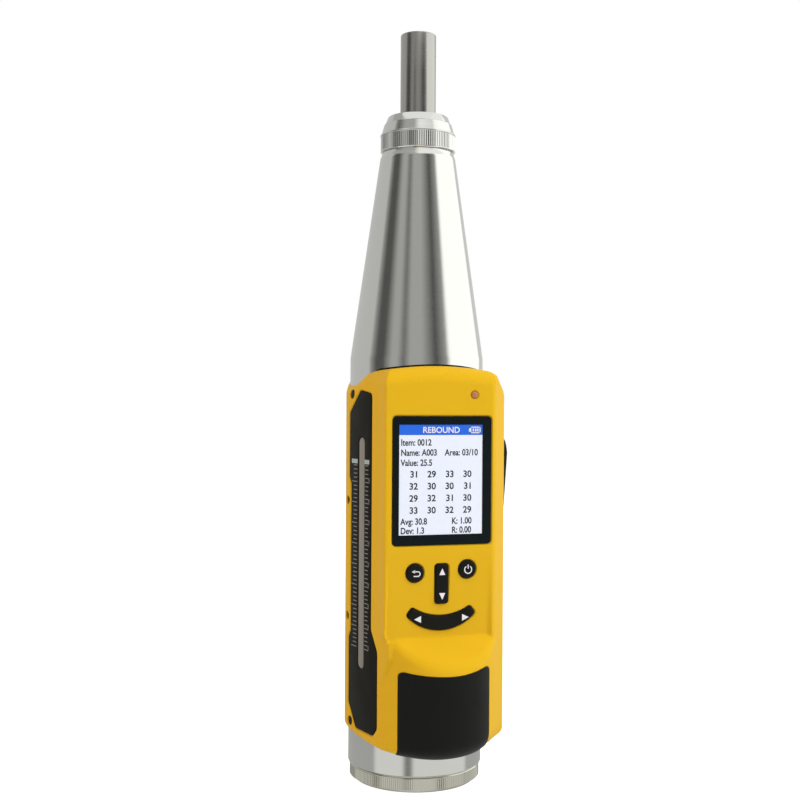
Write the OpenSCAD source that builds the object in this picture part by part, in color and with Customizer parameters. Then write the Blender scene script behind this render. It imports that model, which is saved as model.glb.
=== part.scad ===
// Concrete test hammer: a spring driven rebound hammer in a turned metal body, with a moulded cover that carries
// a display, keys and a side scale. The axis of the body is Z, the rear cap stands on Z = 0, the front faces -Y.

/* [Metal body] */
// Outer diameter of the cylindrical part of the body
tube_d = 56; // [54:0.5:58]
// Wall of the cylindrical part
tube_wall = 3; // [2.6:0.1:3.4]
// Height of the knurled ring of the rear cap
cap_h = 7; // [5:0.5:8]
// Length of the cylindrical part above the rear cap
tube_len = 166; // [162:1:172]
// Length of the conical part
cone_h = 90; // [86:1:100]
// Diameter of the cone at the nose
neck_d = 31; // [30:0.5:33]
// Height of the bevel at the top of the cone
neck_bevel = 2.4; // [1.5:0.1:3]
// Height of the knurled band of the nose cap
nose_band_h = 7.5; // [7:0.5:10]
// Height of the tapered end of the nose cap
nose_tip_h = 7.5; // [7:0.5:10]
// Diameter of the nose cap at its front edge
nose_tip_d = 25; // [23:0.5:27]
// Depth of the knurling
knurl_depth = 0.4; // [0.2:0.1:0.5]
// Ribs round the nose cap
nose_ribs = 88; // [60:4:100]
// Ribs round the rear cap
cap_ribs = 132; // [100:4:160]

/* [Impact mechanism] */
// Diameter of the plunger
plunger_d = 15; // [14:0.5:15.5]
// Length of plunger that stands out of the nose when it is locked in
plunger_out = 36; // [30:1:45]
// Spherical radius of the plunger's striking end
plunger_end_r = 25; // [20:1:40]
// Stroke of the plunger and of the hammer mass
stroke = 75; // [70:1:76]
// Diameter of the guide rod
rod_d = 8; // [7:0.5:8.5]
// Diameter of the hammer mass
mass_d = 36.8; // [34:0.2:37]
// Length of the heavy part of the hammer mass
mass_len = 44; // [40:1:46]
// Room for the return spring when the plunger is in
spring_room = 30; // [27:1:33]
// Thickness of the guide flange
flange_t = 10; // [9:0.5:11]
// Wire diameter of the impact spring
impact_wire = 2; // [1.6:0.1:2.2]
// Turns of the impact spring
impact_turns = 14; // [10:1:16]
// Wire diameter of the return spring
return_wire = 1.6; // [1.2:0.1:1.8]
// Turns of the return spring
return_turns = 8; // [6:1:10]

/* [Moulded cover] */
// Half width of the cover across the body
cover_half = 29.9; // [29.8:0.1:30.4]
// Distance of the flat front from the body's axis
front_y = 35; // [34.8:0.1:36]
// Height of the cover's lower edge
cover_z0 = 17.7; // [17:0.1:19]
// Height of the cover's upper edge
cover_z1 = 172.5; // [171:0.5:174]
// Wall of the cover
cover_wall = 1.8; // [1.6:0.1:2]
// Angle by which the scale side leans in towards the front
facet_tilt = 13; // [12:0.5:14]
// Radius of the shoulder between the front and the button side
shoulder_r = 11; // [9:0.5:12]
// Radius of the cover's upper front edge
crown_r = 7; // [5:0.5:8]
// Distance of the bulge's foremost point from the axis
bulge_y = 45.6; // [44.6:0.1:46.6]
// Height at which the bulge leaves the flat front
bulge_z = 64.7; // [64:0.1:65.5]
// Plan radius of the bulge
bulge_r = 28; // [27.5:0.1:28.5]
// Radius of the bulge's lower edge
bulge_foot_r = 7; // [5:0.5:8]

/* [Display and keys] */
// Width of the display window
glass_w = 41.3; // [40:0.1:41.6]
// Height of the display window
glass_h = 51; // [49:0.5:51.5]
// Height of the middle of the display window
glass_z = 126.6; // [126:0.1:127]
// Thickness of the display window
glass_t = 1.2; // [1:0.1:1.4]
// Width of the lit display
lcd_w = 34.9; // [33:0.1:36]
// Height of the lit display
lcd_h = 43.6; // [42:0.1:45]
// Diameter of the round keys
key_d = 7.2; // [6.8:0.1:8]
// Width of the up and down key
rocker_w = 5.4; // [5:0.1:6.5]
// Height of the up and down key
rocker_h = 15.6; // [15:0.1:16.6]
// Width of the left and right key
arc_w = 28.8; // [28:0.1:29.6]
// Thickness of the left and right key in its middle
arc_t = 5.6; // [5:0.1:6.4]
// Gap between a key and its hole
key_gap = 0.4; // [0.35:0.05:0.5]
// Travel of the round keys
key_travel = 0.8; // [0.6:0.05:0.8]
// How far the keys stand out of the front
key_proud = 0.8; // [0.4:0.1:1.2]
// Diameter of the indicator light
led_d = 3.6; // [3:0.1:4]

/* [Scale side] */
// Thickness of the scale panel
panel_t = 1; // [0.8:0.1:1.1]
// Width of the scale window
window_w = 5; // [4.8:0.1:5.2]
// Height of the scale window's lower end
window_z0 = 48.9; // [48:0.1:50]
// Height of the scale window's upper end
window_z1 = 143.2; // [142:0.1:144]
// Diameter of the rider's rod
rider_rod_d = 3; // [2.6:0.1:3.2]

/* [Lock button, pad and battery] */
// Height of the lock button
lock_h = 34; // [32:0.5:36]
// Width of the lock button
lock_w = 12; // [11:0.5:12]
// How far the lock button stands out of the cover
lock_proud = 4.2; // [3:0.1:4.5]
// Travel of the lock button
lock_travel = 2.2; // [1.8:0.1:2.2]
// Width of the palm pad
pad_w = 37; // [35:0.5:38]
// Upper edge of the palm pad
pad_z1 = 51.5; // [50:0.5:52]
// Thickness of the palm pad
pad_t = 1.6; // [1.4:0.1:1.8]
// Width of the battery pack
battery_w = 22; // [20:0.5:22]
// Height of the battery pack
battery_h = 32; // [28:0.5:33]
// Thickness of the battery pack
battery_t = 7; // [6:0.5:7]

/* [Clearances] */
// Radial clearance of sliding pieces
run = 0.06; // [0.04:0.01:0.08]
// Clearance of pieces that are put together and stay
seat = 0.05; // [0.03:0.01:0.08]
// Clearance between pieces that pass each other
pass = 0.4; // [0.3:0.05:0.5]

/* [Hidden] */
$fn = 64;
eps = 0.01;
far = 200;

// Coils are swept with this many rings to a turn and this many sides
coil_rings = 8;
coil_sides = 6;

// Heights along the axis
tube_r = tube_d / 2;
bore_r = tube_r - tube_wall;
cone_z = cap_h + tube_len;
nose_z = cone_z + cone_h;
band_z = nose_z + nose_band_h;
tip_z = band_z + nose_tip_h;
plunger_z = tip_z + plunger_out;
neck_r = neck_d / 2;
bevel_r = neck_r + (tube_r - neck_r) * neck_bevel / cone_h;
bevel_top_r = neck_r - 0.5;

// Rear cap, trip screw and return spring
cap_floor = 4;
cap_spigot = 9;
cap_wall = 5;
cap_edge = 2;
boss_r = 6;
boss_h = 6;
trip_r = 3;
nut_h = 3.5;
nut_across = 10;
return_r = 15;

// Guide flange and pawl
flange_z = cap_floor + spring_room;
flange_top = flange_z + flange_t;
flange_r = bore_r - pass;
recess_r = 8;
recess_h = flange_t * 0.4;
pawl_t = 4.6;
pawl_x = 12.5;
pawl_z = flange_z + flange_t / 2;
pawl_arm = 3.6;
pawl_pin_r = 1.5;
pawl_pin_len = 15;
hook_x = 7;
heel_x = 19.8;
tail_x = 0.5;
tail_drop = 2;
heel_lift = 2.4;
pawl_slot_x = 15.7;
pawl_spring_x = 18;
pawl_spring_r = 1.3;
pawl_wire = 0.6;
pawl_pocket = 3;

// Hammer mass
collar_gap = 3;
collar_r = 9;
collar_t = 3;
hook_t = 3;
groove_t = hook_t + 2 * pass + 0.6;
groove_r = 6.4;
hammer_z = flange_top + collar_gap;
collar_top = hammer_z + collar_t;
mass_z = collar_top + groove_t;
mass_top = mass_z + mass_len;
impact_r = 11.4;
spring_neck_r = (impact_r - impact_wire / 2) * cos(180 / coil_rings) - pass;
hammer_neck = 8;
hammer_top = mass_top + hammer_neck;

// Plunger, guide rod and guide sleeve
plunger_r = plunger_d / 2;
shank_under = 0.25;
shank_r = plunger_r - shank_under;
shank_top = tip_z + 1;
plunger_z0 = hammer_top + stroke;
rod_r = rod_d / 2;
rod_z0 = flange_z + recess_h;
rod_reach = 22;
rod_top = plunger_z0 + rod_reach;
buffer_len = 14;
buffer_wire = 0.9;
sleeve_len = 32;
sleeve_r = 11;
sleeve_flange_r = 13.5;
sleeve_flange_t = 4;
sleeve_neck = 10;
sleeve_z0 = band_z - sleeve_len;
sleeve_seat = sleeve_z0 - sleeve_flange_t;
front_neck_r = 13;
cone_bore_r = sleeve_flange_r + 1;
throat_len = 13;
throat_z = cone_z - throat_len / 2;
throat_r = mass_d / 2 + 2.6;
ring_t = 1.4;
felt_t = 3;
felt_r = 10.4;

// Rider, in the plane turned by this angle from the scale side towards the front
rider_turn = 25;
rider_rod_r = rider_rod_d / 2;
rider_at = mass_d / 2 + 4.2;
rider_in = mass_d / 2 + 0.9;
rider_out = tube_r - pass;
rider_h = 10;
rider_w = window_w - 0.6;
rider_z = window_z1 - rider_h - 2.2;
rod_seat_depth = 4;
rider_rod_z0 = cap_h + cap_spigot - rod_seat_depth;
rider_rod_z1 = throat_z + rod_seat_depth;

// Outline of the cover
fit_r = tube_r + seat;
lap_y = 2.5;
split_y = -2;
lap_r = tube_r + (cover_half - tube_r) * 0.45;
facet_y = 2;
facet_slope = tan(facet_tilt);
facet_front_x = cover_half - (front_y - facet_y) * facet_slope;
arch_rise = 3.5;
arch_r = (cover_half * cover_half + arch_rise * arch_rise) / (2 * arch_rise);
crown_cut = 6.5;
crown_lift = 0.2;
bulge_x = cover_half - bulge_r;
bulge_mid_y = bulge_y - bulge_r;
bulge_rise = bulge_y - front_y;
foot_steps = 3;
pad_proud = 0.3;
pad_gap = 0.2;
pad_deep = pad_t - pad_proud;
bulge_wall = cover_wall + pad_deep;
side_span = 2 * far;
pad_back = tube_r + 3;
fade_h = 10;
fade_deep = 4;

// Front stack, as distances from the axis towards the front
inner_y = front_y - cover_wall;
lip_y = front_y - glass_t;
lcd_t = 2.4;
lcd_frame = 2;
board_t = 1.2;
lcd_y = inner_y - seat;
board_y = lcd_y - lcd_t;
saddle_y = board_y - board_t;
board_w = 40;
board_below = 60.6;
board_above = 38.4;
board_z0 = glass_z - board_below;
board_z1 = glass_z + board_above;
board_screw_r = 0.95;
board_head_r = 1.6;
board_head_t = 0.7;
board_screw_reach = 2.6;
board_screw_in = 2;
mat_margin = 3;
saddle_w = 35;
saddle_margin = 4;
saddle_deep = 9;
key_flange = 0.8;
key_back = inner_y - 2 * seat - key_flange;
mat_y = key_back - key_travel - 4 * seat;
rib_w = 0.8;

// Places of the keys, across and up
back_at = [-11.2, 90.2];
power_at = [10.7, 91.1];
rocker_at = [0, 85.6];
arc_z = 67.2;
arc_outer_r = 19;
arc_inner_r = 28;
led_at = [13.8, 160.7];
rocker_corner = 1.6;
glass_corner = 1.5;

// Scale panel: edges as distances from the axis towards the front, and heights
panel_back = 2.7;
panel_front = 20.8;
panel_waist = 4.2;
panel_low_front = 26;
panel_z0 = 23.9;
panel_z1 = 161.5;
panel_flare_z0 = 57.8;
panel_flare_z1 = 65.9;
panel_waist_z0 = 63.2;
panel_waist_z1 = 124;
panel_step = 2.6;
panel_cut = 5.5;
panel_heel = 6.4;
panel_toe = 3.6;
panel_gap = 0.15;
window_y = 12.8;
window_sink = 0.2;
window_gap = 0.08;
strip_t = 1.1;
strip_w = 4.8;
strip_turn = 16;

// Side screws, as distance from the axis towards the front and height
side_screws = [[4.6, 160.8], [1.1, 116.9], [0.9, 68.9], [4.2, 25.9]];
screw_head_r = 1.8;
screw_r = 1.2;
screw_seat_x = tube_r + (cover_half - tube_r) * 0.62;

// Lock button and bar
lock_at = [18, 126];
lock_crest = 3;
bar_t = 1.8;
bar_w = 3.6;
bar_y = 19.2;
bar_x = cover_half - cover_wall - 6 * seat;
lock_pin_r = 1.5;
lock_pin_z = flange_z + flange_t / 2;
lock_pin_tip = sqrt(pow(flange_r, 2) - pow(bar_y - lock_pin_r, 2)) + 0.5;
notch_h = 2 * lock_pin_r + 1.2;
spring_seat_x = 20.4;
button_spring_r = 2.2;
button_wire = 0.8;

// Battery and its tray
battery_y = tube_r + 2.2;
battery_z0 = cover_z0 + 5;
tray_lip = 3;
tray_lip_t = 1;

// Helix of round wire between two heights, as one closed tube
module coil(mean_r, wire, z0, z1, turns) {
    steps = turns * coil_rings;
    rise = z1 - z0 - wire;
    line = [for (i = [0:steps]) let (a = 360 * i / coil_rings)
        [mean_r * cos(a), mean_r * sin(a), z0 + wire / 2 + rise * i / steps]];
    gaps = [for (i = [0:steps - coil_rings]) norm(line[i + coil_rings] - line[i]) - wire];
    echo(least_gap = min(gaps));
    skin = [for (i = [0:steps]) for (j = [0:coil_sides - 1])
        let (a = 360 * i / coil_rings, b = 360 * j / coil_sides, r = mean_r + wire / 2 * cos(b))
        [r * cos(a), r * sin(a), line[i][2] + wire / 2 * sin(b)]];
    start = [for (j = [0:coil_sides - 1]) j];
    end = [for (j = [coil_sides - 1:-1:0]) steps * coil_sides + j];
    walls = [for (i = [0:steps - 1]) for (j = [0:coil_sides - 1])
        let (p = i * coil_sides + j, q = i * coil_sides + (j + 1) % coil_sides)
        each [[p, p + coil_sides, q], [q, p + coil_sides, q + coil_sides]]];
    polyhedron(skin, concat([start], walls, [end]));
}

// Band with straight ribs round it
module ribbed_band(r, h, ribs) {
    linear_extrude(h) polygon([for (i = [0:2 * ribs - 1])
        let (a = 180 * i / ribs, q = i % 2 == 0 ? r : r - knurl_depth) [q * cos(a), q * sin(a)]]);
}

// Ring with a round bore
module ring(r_out, r_in, h) {
    difference() {
        cylinder(h = h, r = r_out);
        translate([0, 0, -eps]) cylinder(h = h + 2 * eps, r = r_in);
    }
}

// Flat outline with round corners, about the middle
module round_plate(w, h, r) {
    square([w, h - 2 * r], center = true);
    square([w - 2 * r, h], center = true);
    for (x = [-1, 1], y = [-1, 1]) translate([x * (w / 2 - r), y * (h / 2 - r)]) circle(r);
}

// Raises an outline drawn across and up into a slab between two distances in front of the axis
module front_slab(y0, y1) {
    translate([0, -y0, 0]) rotate([90, 0, 0]) linear_extrude(y1 - y0) children();
}

// Raises an outline drawn along the scale side and up into a slab, by distances out of that side
module facet_slab(h0, h1) {
    translate([-cover_half, -facet_y, 0]) rotate([90, 0, facet_tilt - 90]) translate([0, 0, h0])
        linear_extrude(h1 - h0) children();
}

// Place along the scale side of a point at this distance in front of the axis
function along(y) = (y - facet_y) / cos(facet_tilt);

// Plan of the cover at the display, set in by a distance
module plan_display(inset) {
    half = cover_half - inset;
    front = front_y - inset;
    slant = inset / cos(facet_tilt);
    r = shoulder_r - inset;
    difference() {
        polygon([[-half, 0], [-half, -facet_y], [-facet_front_x + slant - inset * facet_slope, -front],
            [half, -front], [half, 0]]);
        difference() {
            translate([half - r, -front - r]) square(2 * r);
            translate([half - r, -front + r]) circle(r);
        }
    }
}

// Plan of the cover at the bulge, set in by a distance
module plan_bulge(inset) {
    half = cover_half - inset;
    slant = inset / cos(facet_tilt);
    intersection() {
        union() {
            translate([bulge_x, -bulge_mid_y]) circle(bulge_r - inset);
            translate([-half, -bulge_mid_y]) square([2 * half, bulge_mid_y]);
        }
        polygon([[-half, far], [-half, -facet_y], [-cover_half + slant + far * facet_slope, -far - facet_y],
            [far, -far], [far, far]]);
    }
}

// Side view of the bulge, set in by a distance, drawn towards the front and up
module side_bulge(inset) {
    front = bulge_y - inset;
    low = cover_z0 + inset;
    drop = inset * sqrt(2);
    polygon([[-far, low], [front, low], [front, bulge_z - bulge_rise - drop + inset],
        [front_y - inset, bulge_z - drop + inset], [-far, bulge_z - drop + inset]]);
}

// Body about the bulge's own axis that narrows at the foot, and all that lies behind that axis
module bulge_turned(inset) {
    r = bulge_r - inset;
    low = cover_z0 + inset;
    foot = bulge_foot_r - inset;
    step = 90 / foot_steps;
    translate([bulge_x, -bulge_mid_y, low]) {
        for (a = [0:step:90 - step]) translate([0, 0, foot * (1 - cos(a))])
            cylinder(h = foot * (cos(a) - cos(a + step)) + eps, r1 = r - foot + foot * sin(a),
                r2 = r - foot + foot * sin(a + step), $fn = 128);
        translate([0, 0, foot]) cylinder(h = far, r = r, $fn = 128);
    }
    translate([-far, -bulge_mid_y, 0]) cube([2 * far, far, far]);
}

// Turns a side view into a slab across the whole width
module side_slab() {
    translate([-far, 0, 0]) rotate([90, 0, 90]) linear_extrude(side_span) mirror([1, 0]) children();
}

// Bulge of the cover, set in by a distance
module bulge(inset) {
    intersection() {
        translate([0, 0, cover_z0 + inset]) linear_extrude(bulge_z - cover_z0) plan_bulge(inset);
        side_slab() side_bulge(inset);
        bulge_turned(inset);
    }
}

// Upper part of the cover, set in by a distance, with its round upper front edge, fading into the bulge below
module display_block(inset) {
    front = front_y - inset;
    low = bulge_z - bulge_rise;
    fade = low - fade_h;
    crown_z = cover_z1 - crown_r + crown_lift;
    high = cover_z1 + 1;
    r = crown_r - inset;
    intersection() {
        translate([0, 0, fade]) linear_extrude(high - fade) plan_display(inset);
        side_slab() difference() {
            polygon([[-far, fade - 1], [front - fade_deep, fade - 1], [front - fade_deep, fade], [front, low],
                [front, high], [-far, high]]);
            difference() {
                translate([front - r, crown_z]) square(2 * r);
                translate([front - r, crown_z]) circle(r);
            }
        }
    }
}

// Front view of the cover, set in by a distance: arched top and foot, cut upper corners
module front_view(inset) {
    half = cover_half - inset;
    low = cover_z0 + inset;
    high = cover_z1 - arch_rise;
    crown = crown_cut + inset * (sqrt(2) - 1);
    intersection() {
        translate([0, cover_z1 - arch_r]) circle(arch_r - inset, $fn = 180);
        translate([0, cover_z0 + arch_r]) circle(arch_r - inset, $fn = 180);
        polygon([[-half - 1, low - 1], [half + 1, low - 1], [half + 1, high - crown - 1],
            [half - crown - crown_cut, high + crown_cut],
            [-half + crown + crown_cut, high + crown_cut], [-half - 1, high - crown - 1]]);
    }
}

// Outer form of the whole cover, front and back
module cover_form() {
    intersection() {
        union() {
            display_block(0);
            bulge(0);
            translate([0, 0, cover_z0]) intersection() {
                cylinder(h = cover_z1 - cover_z0 + 1, r = cover_half, $fn = 128);
                translate([-far, -facet_y, 0]) cube([2 * far, 2 * far, far]);
            }
        }
        front_slab(-far, far) front_view(0);
    }
}

// Space between the cover and the metal body, with a thicker wall behind the palm pad
module cover_room() {
    intersection() {
        union() {
            display_block(cover_wall);
            difference() {
                bulge(cover_wall);
                difference() {
                    front_slab(tube_r, far) pad_outline(cover_wall);
                    bulge(bulge_wall);
                }
            }
        }
        front_slab(-far, far) front_view(cover_wall);
    }
}

// Outline of the palm pad in front view, grown by a gap, open at the foot
module pad_outline(grow) {
    corner = 2;
    w = pad_w + 2 * grow;
    z1 = pad_z1 + grow;
    translate([-w / 2, 0]) square([w, z1 - corner]);
    translate([-w / 2 + corner, 0]) square([w - 2 * corner, z1]);
    for (x = [-1, 1]) translate([x * (w / 2 - corner), z1 - corner]) circle(corner);
}

// Outline of the left and right key, grown by a gap
module arc_outline(grow) {
    intersection() {
        difference() {
            translate([0, arc_z + arc_outer_r]) circle(arc_outer_r + grow);
            translate([0, arc_z + arc_t + arc_inner_r]) circle(arc_inner_r - grow);
        }
        translate([-arc_w / 2 - grow, 0]) square([arc_w + 2 * grow, far]);
        translate([0, arc_z + arc_w / 2 - 1]) circle(arc_w / 2 + 1 + grow);
    }
}

// Outline of the up and down key, grown by a gap
module rocker_outline(grow) {
    translate(rocker_at) round_plate(rocker_w + 2 * grow, rocker_h + 2 * grow, rocker_corner + grow);
}

// Outline of a round key, grown by a gap
module key_outline(at, grow) {
    translate(at) circle(key_d / 2 + grow);
}

// Outline of the scale panel along the scale side, grown by a gap
module panel_outline(grow) {
    back = along(panel_back) - grow;
    front = along(panel_front) + grow;
    waist = along(panel_waist) - grow;
    low_front = along(panel_low_front) + grow;
    high = panel_z1 + grow;
    low = panel_z0 - grow;
    polygon([[back + panel_cut, high], [front, high], [front, panel_flare_z1], [low_front, panel_flare_z0],
        [low_front, low + panel_toe], [low_front - panel_toe, low], [back + panel_heel, low],
        [back, low + panel_heel * 1.5], [back, panel_waist_z0 - panel_step], [waist, panel_waist_z0],
        [waist, panel_waist_z1], [back, panel_waist_z1 + panel_step], [back, high - panel_cut * 1.5]]);
}

// Outline of the scale window along the scale side, grown by a gap
module window_outline(grow) {
    r = window_w / 2 + grow;
    mid = along(window_y);
    hull_low = window_z0 + window_w / 2;
    hull_high = window_z1 - window_w / 2;
    translate([mid - r, hull_low]) square([2 * r, hull_high - hull_low]);
    translate([mid, hull_low]) circle(r);
    translate([mid, hull_high]) circle(r);
}

// Side screws or what they pass through, on both sides of the body
module at_side_screws() {
    for (side = [-1, 1], s = side_screws) translate([0, -s[0], s[1]]) rotate([0, 90 * side, 0]) children();
}

// Outline of the lock button on the cover's side, grown by a gap
module lock_outline(grow) {
    round_plate(lock_w + 2 * grow, lock_h + 2 * grow, lock_w / 2 - eps + grow);
}

// Slab of the lock button's outline between two distances from the axis
module lock_slab(x0, x1, grow) {
    translate([x0, -lock_at[0], lock_at[1]]) rotate([90, 0, 90]) linear_extrude(x1 - x0) lock_outline(grow);
}

module tube_housing() color("gainsboro") difference() {
    union() {
        translate([0, 0, cap_h]) cylinder(h = tube_len, r = tube_r, $fn = 128);
        translate([0, 0, cone_z]) cylinder(h = cone_h - neck_bevel, r1 = tube_r, r2 = bevel_r, $fn = 128);
        translate([0, 0, nose_z - neck_bevel]) cylinder(h = neck_bevel, r1 = bevel_r, r2 = bevel_top_r, $fn = 128);
        translate([0, 0, nose_z - eps]) cylinder(h = nose_band_h + eps, r = front_neck_r);
    }
    translate([0, 0, cap_h - 1]) cylinder(h = throat_z - cap_h + 1, r = bore_r);
    translate([0, 0, throat_z - 1]) cylinder(h = throat_len + 1, r = throat_r);
    translate([0, 0, throat_z + throat_len - eps])
        cylinder(h = sleeve_z0 - throat_z - throat_len + eps, r1 = throat_r, r2 = cone_bore_r);
    translate([0, 0, sleeve_z0 - 1]) cylinder(h = far, r = sleeve_r + seat);
    rotate([0, 0, rider_turn]) {
        translate([-far, -window_w / 2, window_z0]) cube([far, window_w, window_z1 - window_z0]);
        translate([-rider_at, 0, throat_z - 1]) cylinder(h = rod_seat_depth + 1 + seat, r = rider_rod_r + seat);
        translate([-rider_at, 0, rider_rod_z0 - seat])
            cylinder(h = throat_z - rider_rod_z0, r = rider_rod_r + pass);
    }
    at_side_screws() cylinder(h = far, r = screw_r + seat);
    translate([0, -bar_y, lock_pin_z]) rotate([0, 90, 0]) cylinder(h = far, r = lock_pin_r + pass);
    translate([spring_seat_x, -bar_y, lock_at[1]]) rotate([0, 90, 0]) cylinder(h = far, r = button_spring_r + 1);
}

module nose_cap() color("gainsboro") difference() {
    union() {
        translate([0, 0, nose_z]) ribbed_band(neck_r + 0.5, nose_band_h, nose_ribs);
        translate([0, 0, band_z]) cylinder(h = nose_tip_h * 0.55, r1 = neck_r, r2 = neck_r - 1.2);
        translate([0, 0, band_z + nose_tip_h * 0.55])
            cylinder(h = nose_tip_h * 0.45, r1 = neck_r - 1.2, r2 = nose_tip_d / 2);
    }
    translate([0, 0, nose_z - 1]) cylinder(h = nose_band_h + 1 + ring_t + seat, r = front_neck_r + seat);
    translate([0, 0, band_z + ring_t]) cylinder(h = felt_t + 2 * seat, r = felt_r + seat);
    cylinder(h = far * 2, r = plunger_r + 0.25);
}

module felt_ring() color("dimgray")
    translate([0, 0, band_z + ring_t + 2 * seat]) ring(felt_r, shank_r + run, felt_t - 2 * seat);

module split_ring() color("silver") difference() {
    translate([0, 0, band_z]) ring(front_neck_r, plunger_r + pass, ring_t);
    translate([-far, -0.3, band_z - 1]) cube([2 * far, 0.6, ring_t + 2]);
}

module guide_sleeve() color("silver") difference() {
    union() {
        translate([0, 0, sleeve_z0 - eps]) cylinder(h = sleeve_len + eps, r = sleeve_r);
        translate([0, 0, sleeve_seat]) cylinder(h = sleeve_flange_t, r = sleeve_flange_r);
        translate([0, 0, sleeve_seat - sleeve_neck]) cylinder(h = sleeve_neck + eps, r = spring_neck_r);
    }
    cylinder(h = far * 2, r = shank_r + run);
}

module plunger() color("lightgray") difference() {
    intersection() {
        union() {
            translate([0, 0, plunger_z0]) cylinder(h = shank_top - plunger_z0, r = shank_r);
            translate([0, 0, shank_top]) cylinder(h = plunger_z - shank_top, r = plunger_r);
        }
        union() {
            translate([0, 0, plunger_z - plunger_end_r]) sphere(plunger_end_r, $fn = 128);
            translate([0, 0, plunger_z0 - 1]) cylinder(h = plunger_z - plunger_z0 - plunger_r, r = plunger_r + 1);
        }
    }
    translate([0, 0, plunger_z0 - 1]) cylinder(h = rod_reach + buffer_len + 1, r = rod_r + seat);
}

module buffer_spring() color("slategray")
    coil(rod_r - buffer_wire, buffer_wire, rod_top + seat, rod_top + buffer_len - seat, 7);

module guide_rod() color("lightgray")
    translate([0, 0, rod_z0]) cylinder(h = rod_top - rod_z0, r = rod_r);

module guide_flange() color("darkgray") difference() {
    translate([0, 0, flange_z]) cylinder(h = flange_t, r = flange_r);
    translate([0, 0, flange_z - 1]) cylinder(h = recess_h + 1, r = recess_r);
    cylinder(h = far, r = rod_r + seat);
    translate([rod_r + 1.4, -pawl_t / 2 - pass / 2, flange_z - 1])
        cube([pawl_slot_x - rod_r - 1.4, pawl_t + pass, flange_t + 2]);
    translate([pawl_spring_x, 0, flange_top - pawl_pocket - seat])
        cylinder(h = far, r = pawl_spring_r + pawl_wire);
    translate([pawl_x, pawl_pin_len / 2, pawl_z]) rotate([90, 0, 0])
        cylinder(h = pawl_pin_len, r = pawl_pin_r + seat);
    rotate([0, 0, rider_turn]) translate([-far, -window_w / 2 - pass, flange_z - 1])
        cube([far - rider_in + pass, window_w + 2 * pass, flange_t + 2]);
    translate([lock_pin_tip - lock_travel - pass, -bar_y - lock_pin_r - pass, lock_pin_z - notch_h / 2])
        cube([far, 2 * lock_pin_r + 2 * pass, notch_h]);
}

// Side view of the pawl: hook over the collar, tail under the rod, heel over the spring
module pawl_view() {
    hook_z = collar_top + pass / 2;
    tail_z = flange_z - tail_drop;
    polygon([[tail_x, tail_z], [pawl_x - pawl_arm / 2 + 0.8, tail_z], [pawl_x + pawl_arm / 2, flange_z + 2],
        [pawl_x + pawl_arm / 2, flange_top + heel_lift],
        [heel_x, flange_top + heel_lift], [heel_x, flange_top + heel_lift + 2.4],
        [pawl_x + pawl_arm / 2, flange_top + heel_lift + 3.2], [pawl_x + pawl_arm / 2, hook_z + hook_t - 0.6],
        [pawl_x + pawl_arm / 2 - 0.6, hook_z + hook_t], [hook_x + 1.2, hook_z + hook_t], [hook_x, hook_z + 1.2],
        [hook_x, hook_z], [pawl_x - pawl_arm / 2, hook_z], [pawl_x - pawl_arm / 2, tail_z + 2.2],
        [tail_x, tail_z + 1.6]]);
}

module pawl() color("slategray") difference() {
    translate([0, pawl_t / 2, 0]) rotate([90, 0, 0]) linear_extrude(pawl_t) pawl_view();
    translate([pawl_x, far, pawl_z]) rotate([90, 0, 0]) cylinder(h = 2 * far, r = pawl_pin_r + run);
}

module pawl_pin() color("silver")
    translate([pawl_x, pawl_pin_len / 2, pawl_z]) rotate([90, 0, 0]) cylinder(h = pawl_pin_len, r = pawl_pin_r);

module pawl_spring() color("slategray") translate([pawl_spring_x, 0, 0])
    coil(pawl_spring_r, pawl_wire, flange_top - pawl_pocket, flange_top + heel_lift - seat, 4);

module hammer_mass() color("gray") difference() {
    union() {
        translate([0, 0, hammer_z]) cylinder(h = collar_t, r = collar_r);
        translate([0, 0, hammer_z]) cylinder(h = mass_z - hammer_z + 1, r = groove_r);
        translate([0, 0, mass_z]) cylinder(h = mass_len, r = mass_d / 2);
        translate([0, 0, mass_top - 1]) cylinder(h = hammer_neck + 1, r = spring_neck_r);
    }
    cylinder(h = far, r = rod_r + run);
}

module impact_spring() color("slategray")
    coil(impact_r, impact_wire, mass_top + pass, sleeve_seat - pass, impact_turns);

module return_spring() color("slategray")
    coil(return_r, return_wire, cap_floor + seat, flange_z - seat, return_turns);

module rear_cap() color("gainsboro") difference() {
    union() {
        intersection() {
            ribbed_band(tube_r - 0.5, cap_h, cap_ribs);
            union() {
                cylinder(h = cap_edge + eps, r1 = tube_r - cap_edge, r2 = tube_r, $fn = 128);
                translate([0, 0, cap_edge]) cylinder(h = cap_h, r = tube_r, $fn = 128);
            }
        }
        translate([0, 0, cap_h - eps]) cylinder(h = cap_spigot + eps, r = bore_r - seat);
    }
    difference() {
        translate([0, 0, cap_floor]) cylinder(h = far, r = bore_r - cap_wall);
        translate([0, 0, cap_floor - 1]) cylinder(h = boss_h + 1, r = boss_r);
    }
    translate([0, 0, cap_floor / 2]) cylinder(h = far, r = trip_r + seat);
    rotate([0, 0, rider_turn]) translate([-rider_at, 0, rider_rod_z0 - seat])
        cylinder(h = far, r = rider_rod_r + seat);
}

module trip_screw() color("silver") {
    low = cap_floor / 2 + seat;
    high = flange_z - tail_drop - pass;
    translate([0, 0, low]) cylinder(h = high - low - trip_r / 2, r = trip_r);
    translate([0, 0, high - trip_r / 2 - eps]) cylinder(h = trip_r / 2 + eps, r1 = trip_r, r2 = trip_r / 2);
}

module lock_nut() color("silver") difference() {
    translate([0, 0, cap_floor + boss_h]) cylinder(h = nut_h, r = nut_across / sqrt(3), $fn = 6);
    cylinder(h = far, r = trip_r + seat);
}

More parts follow.
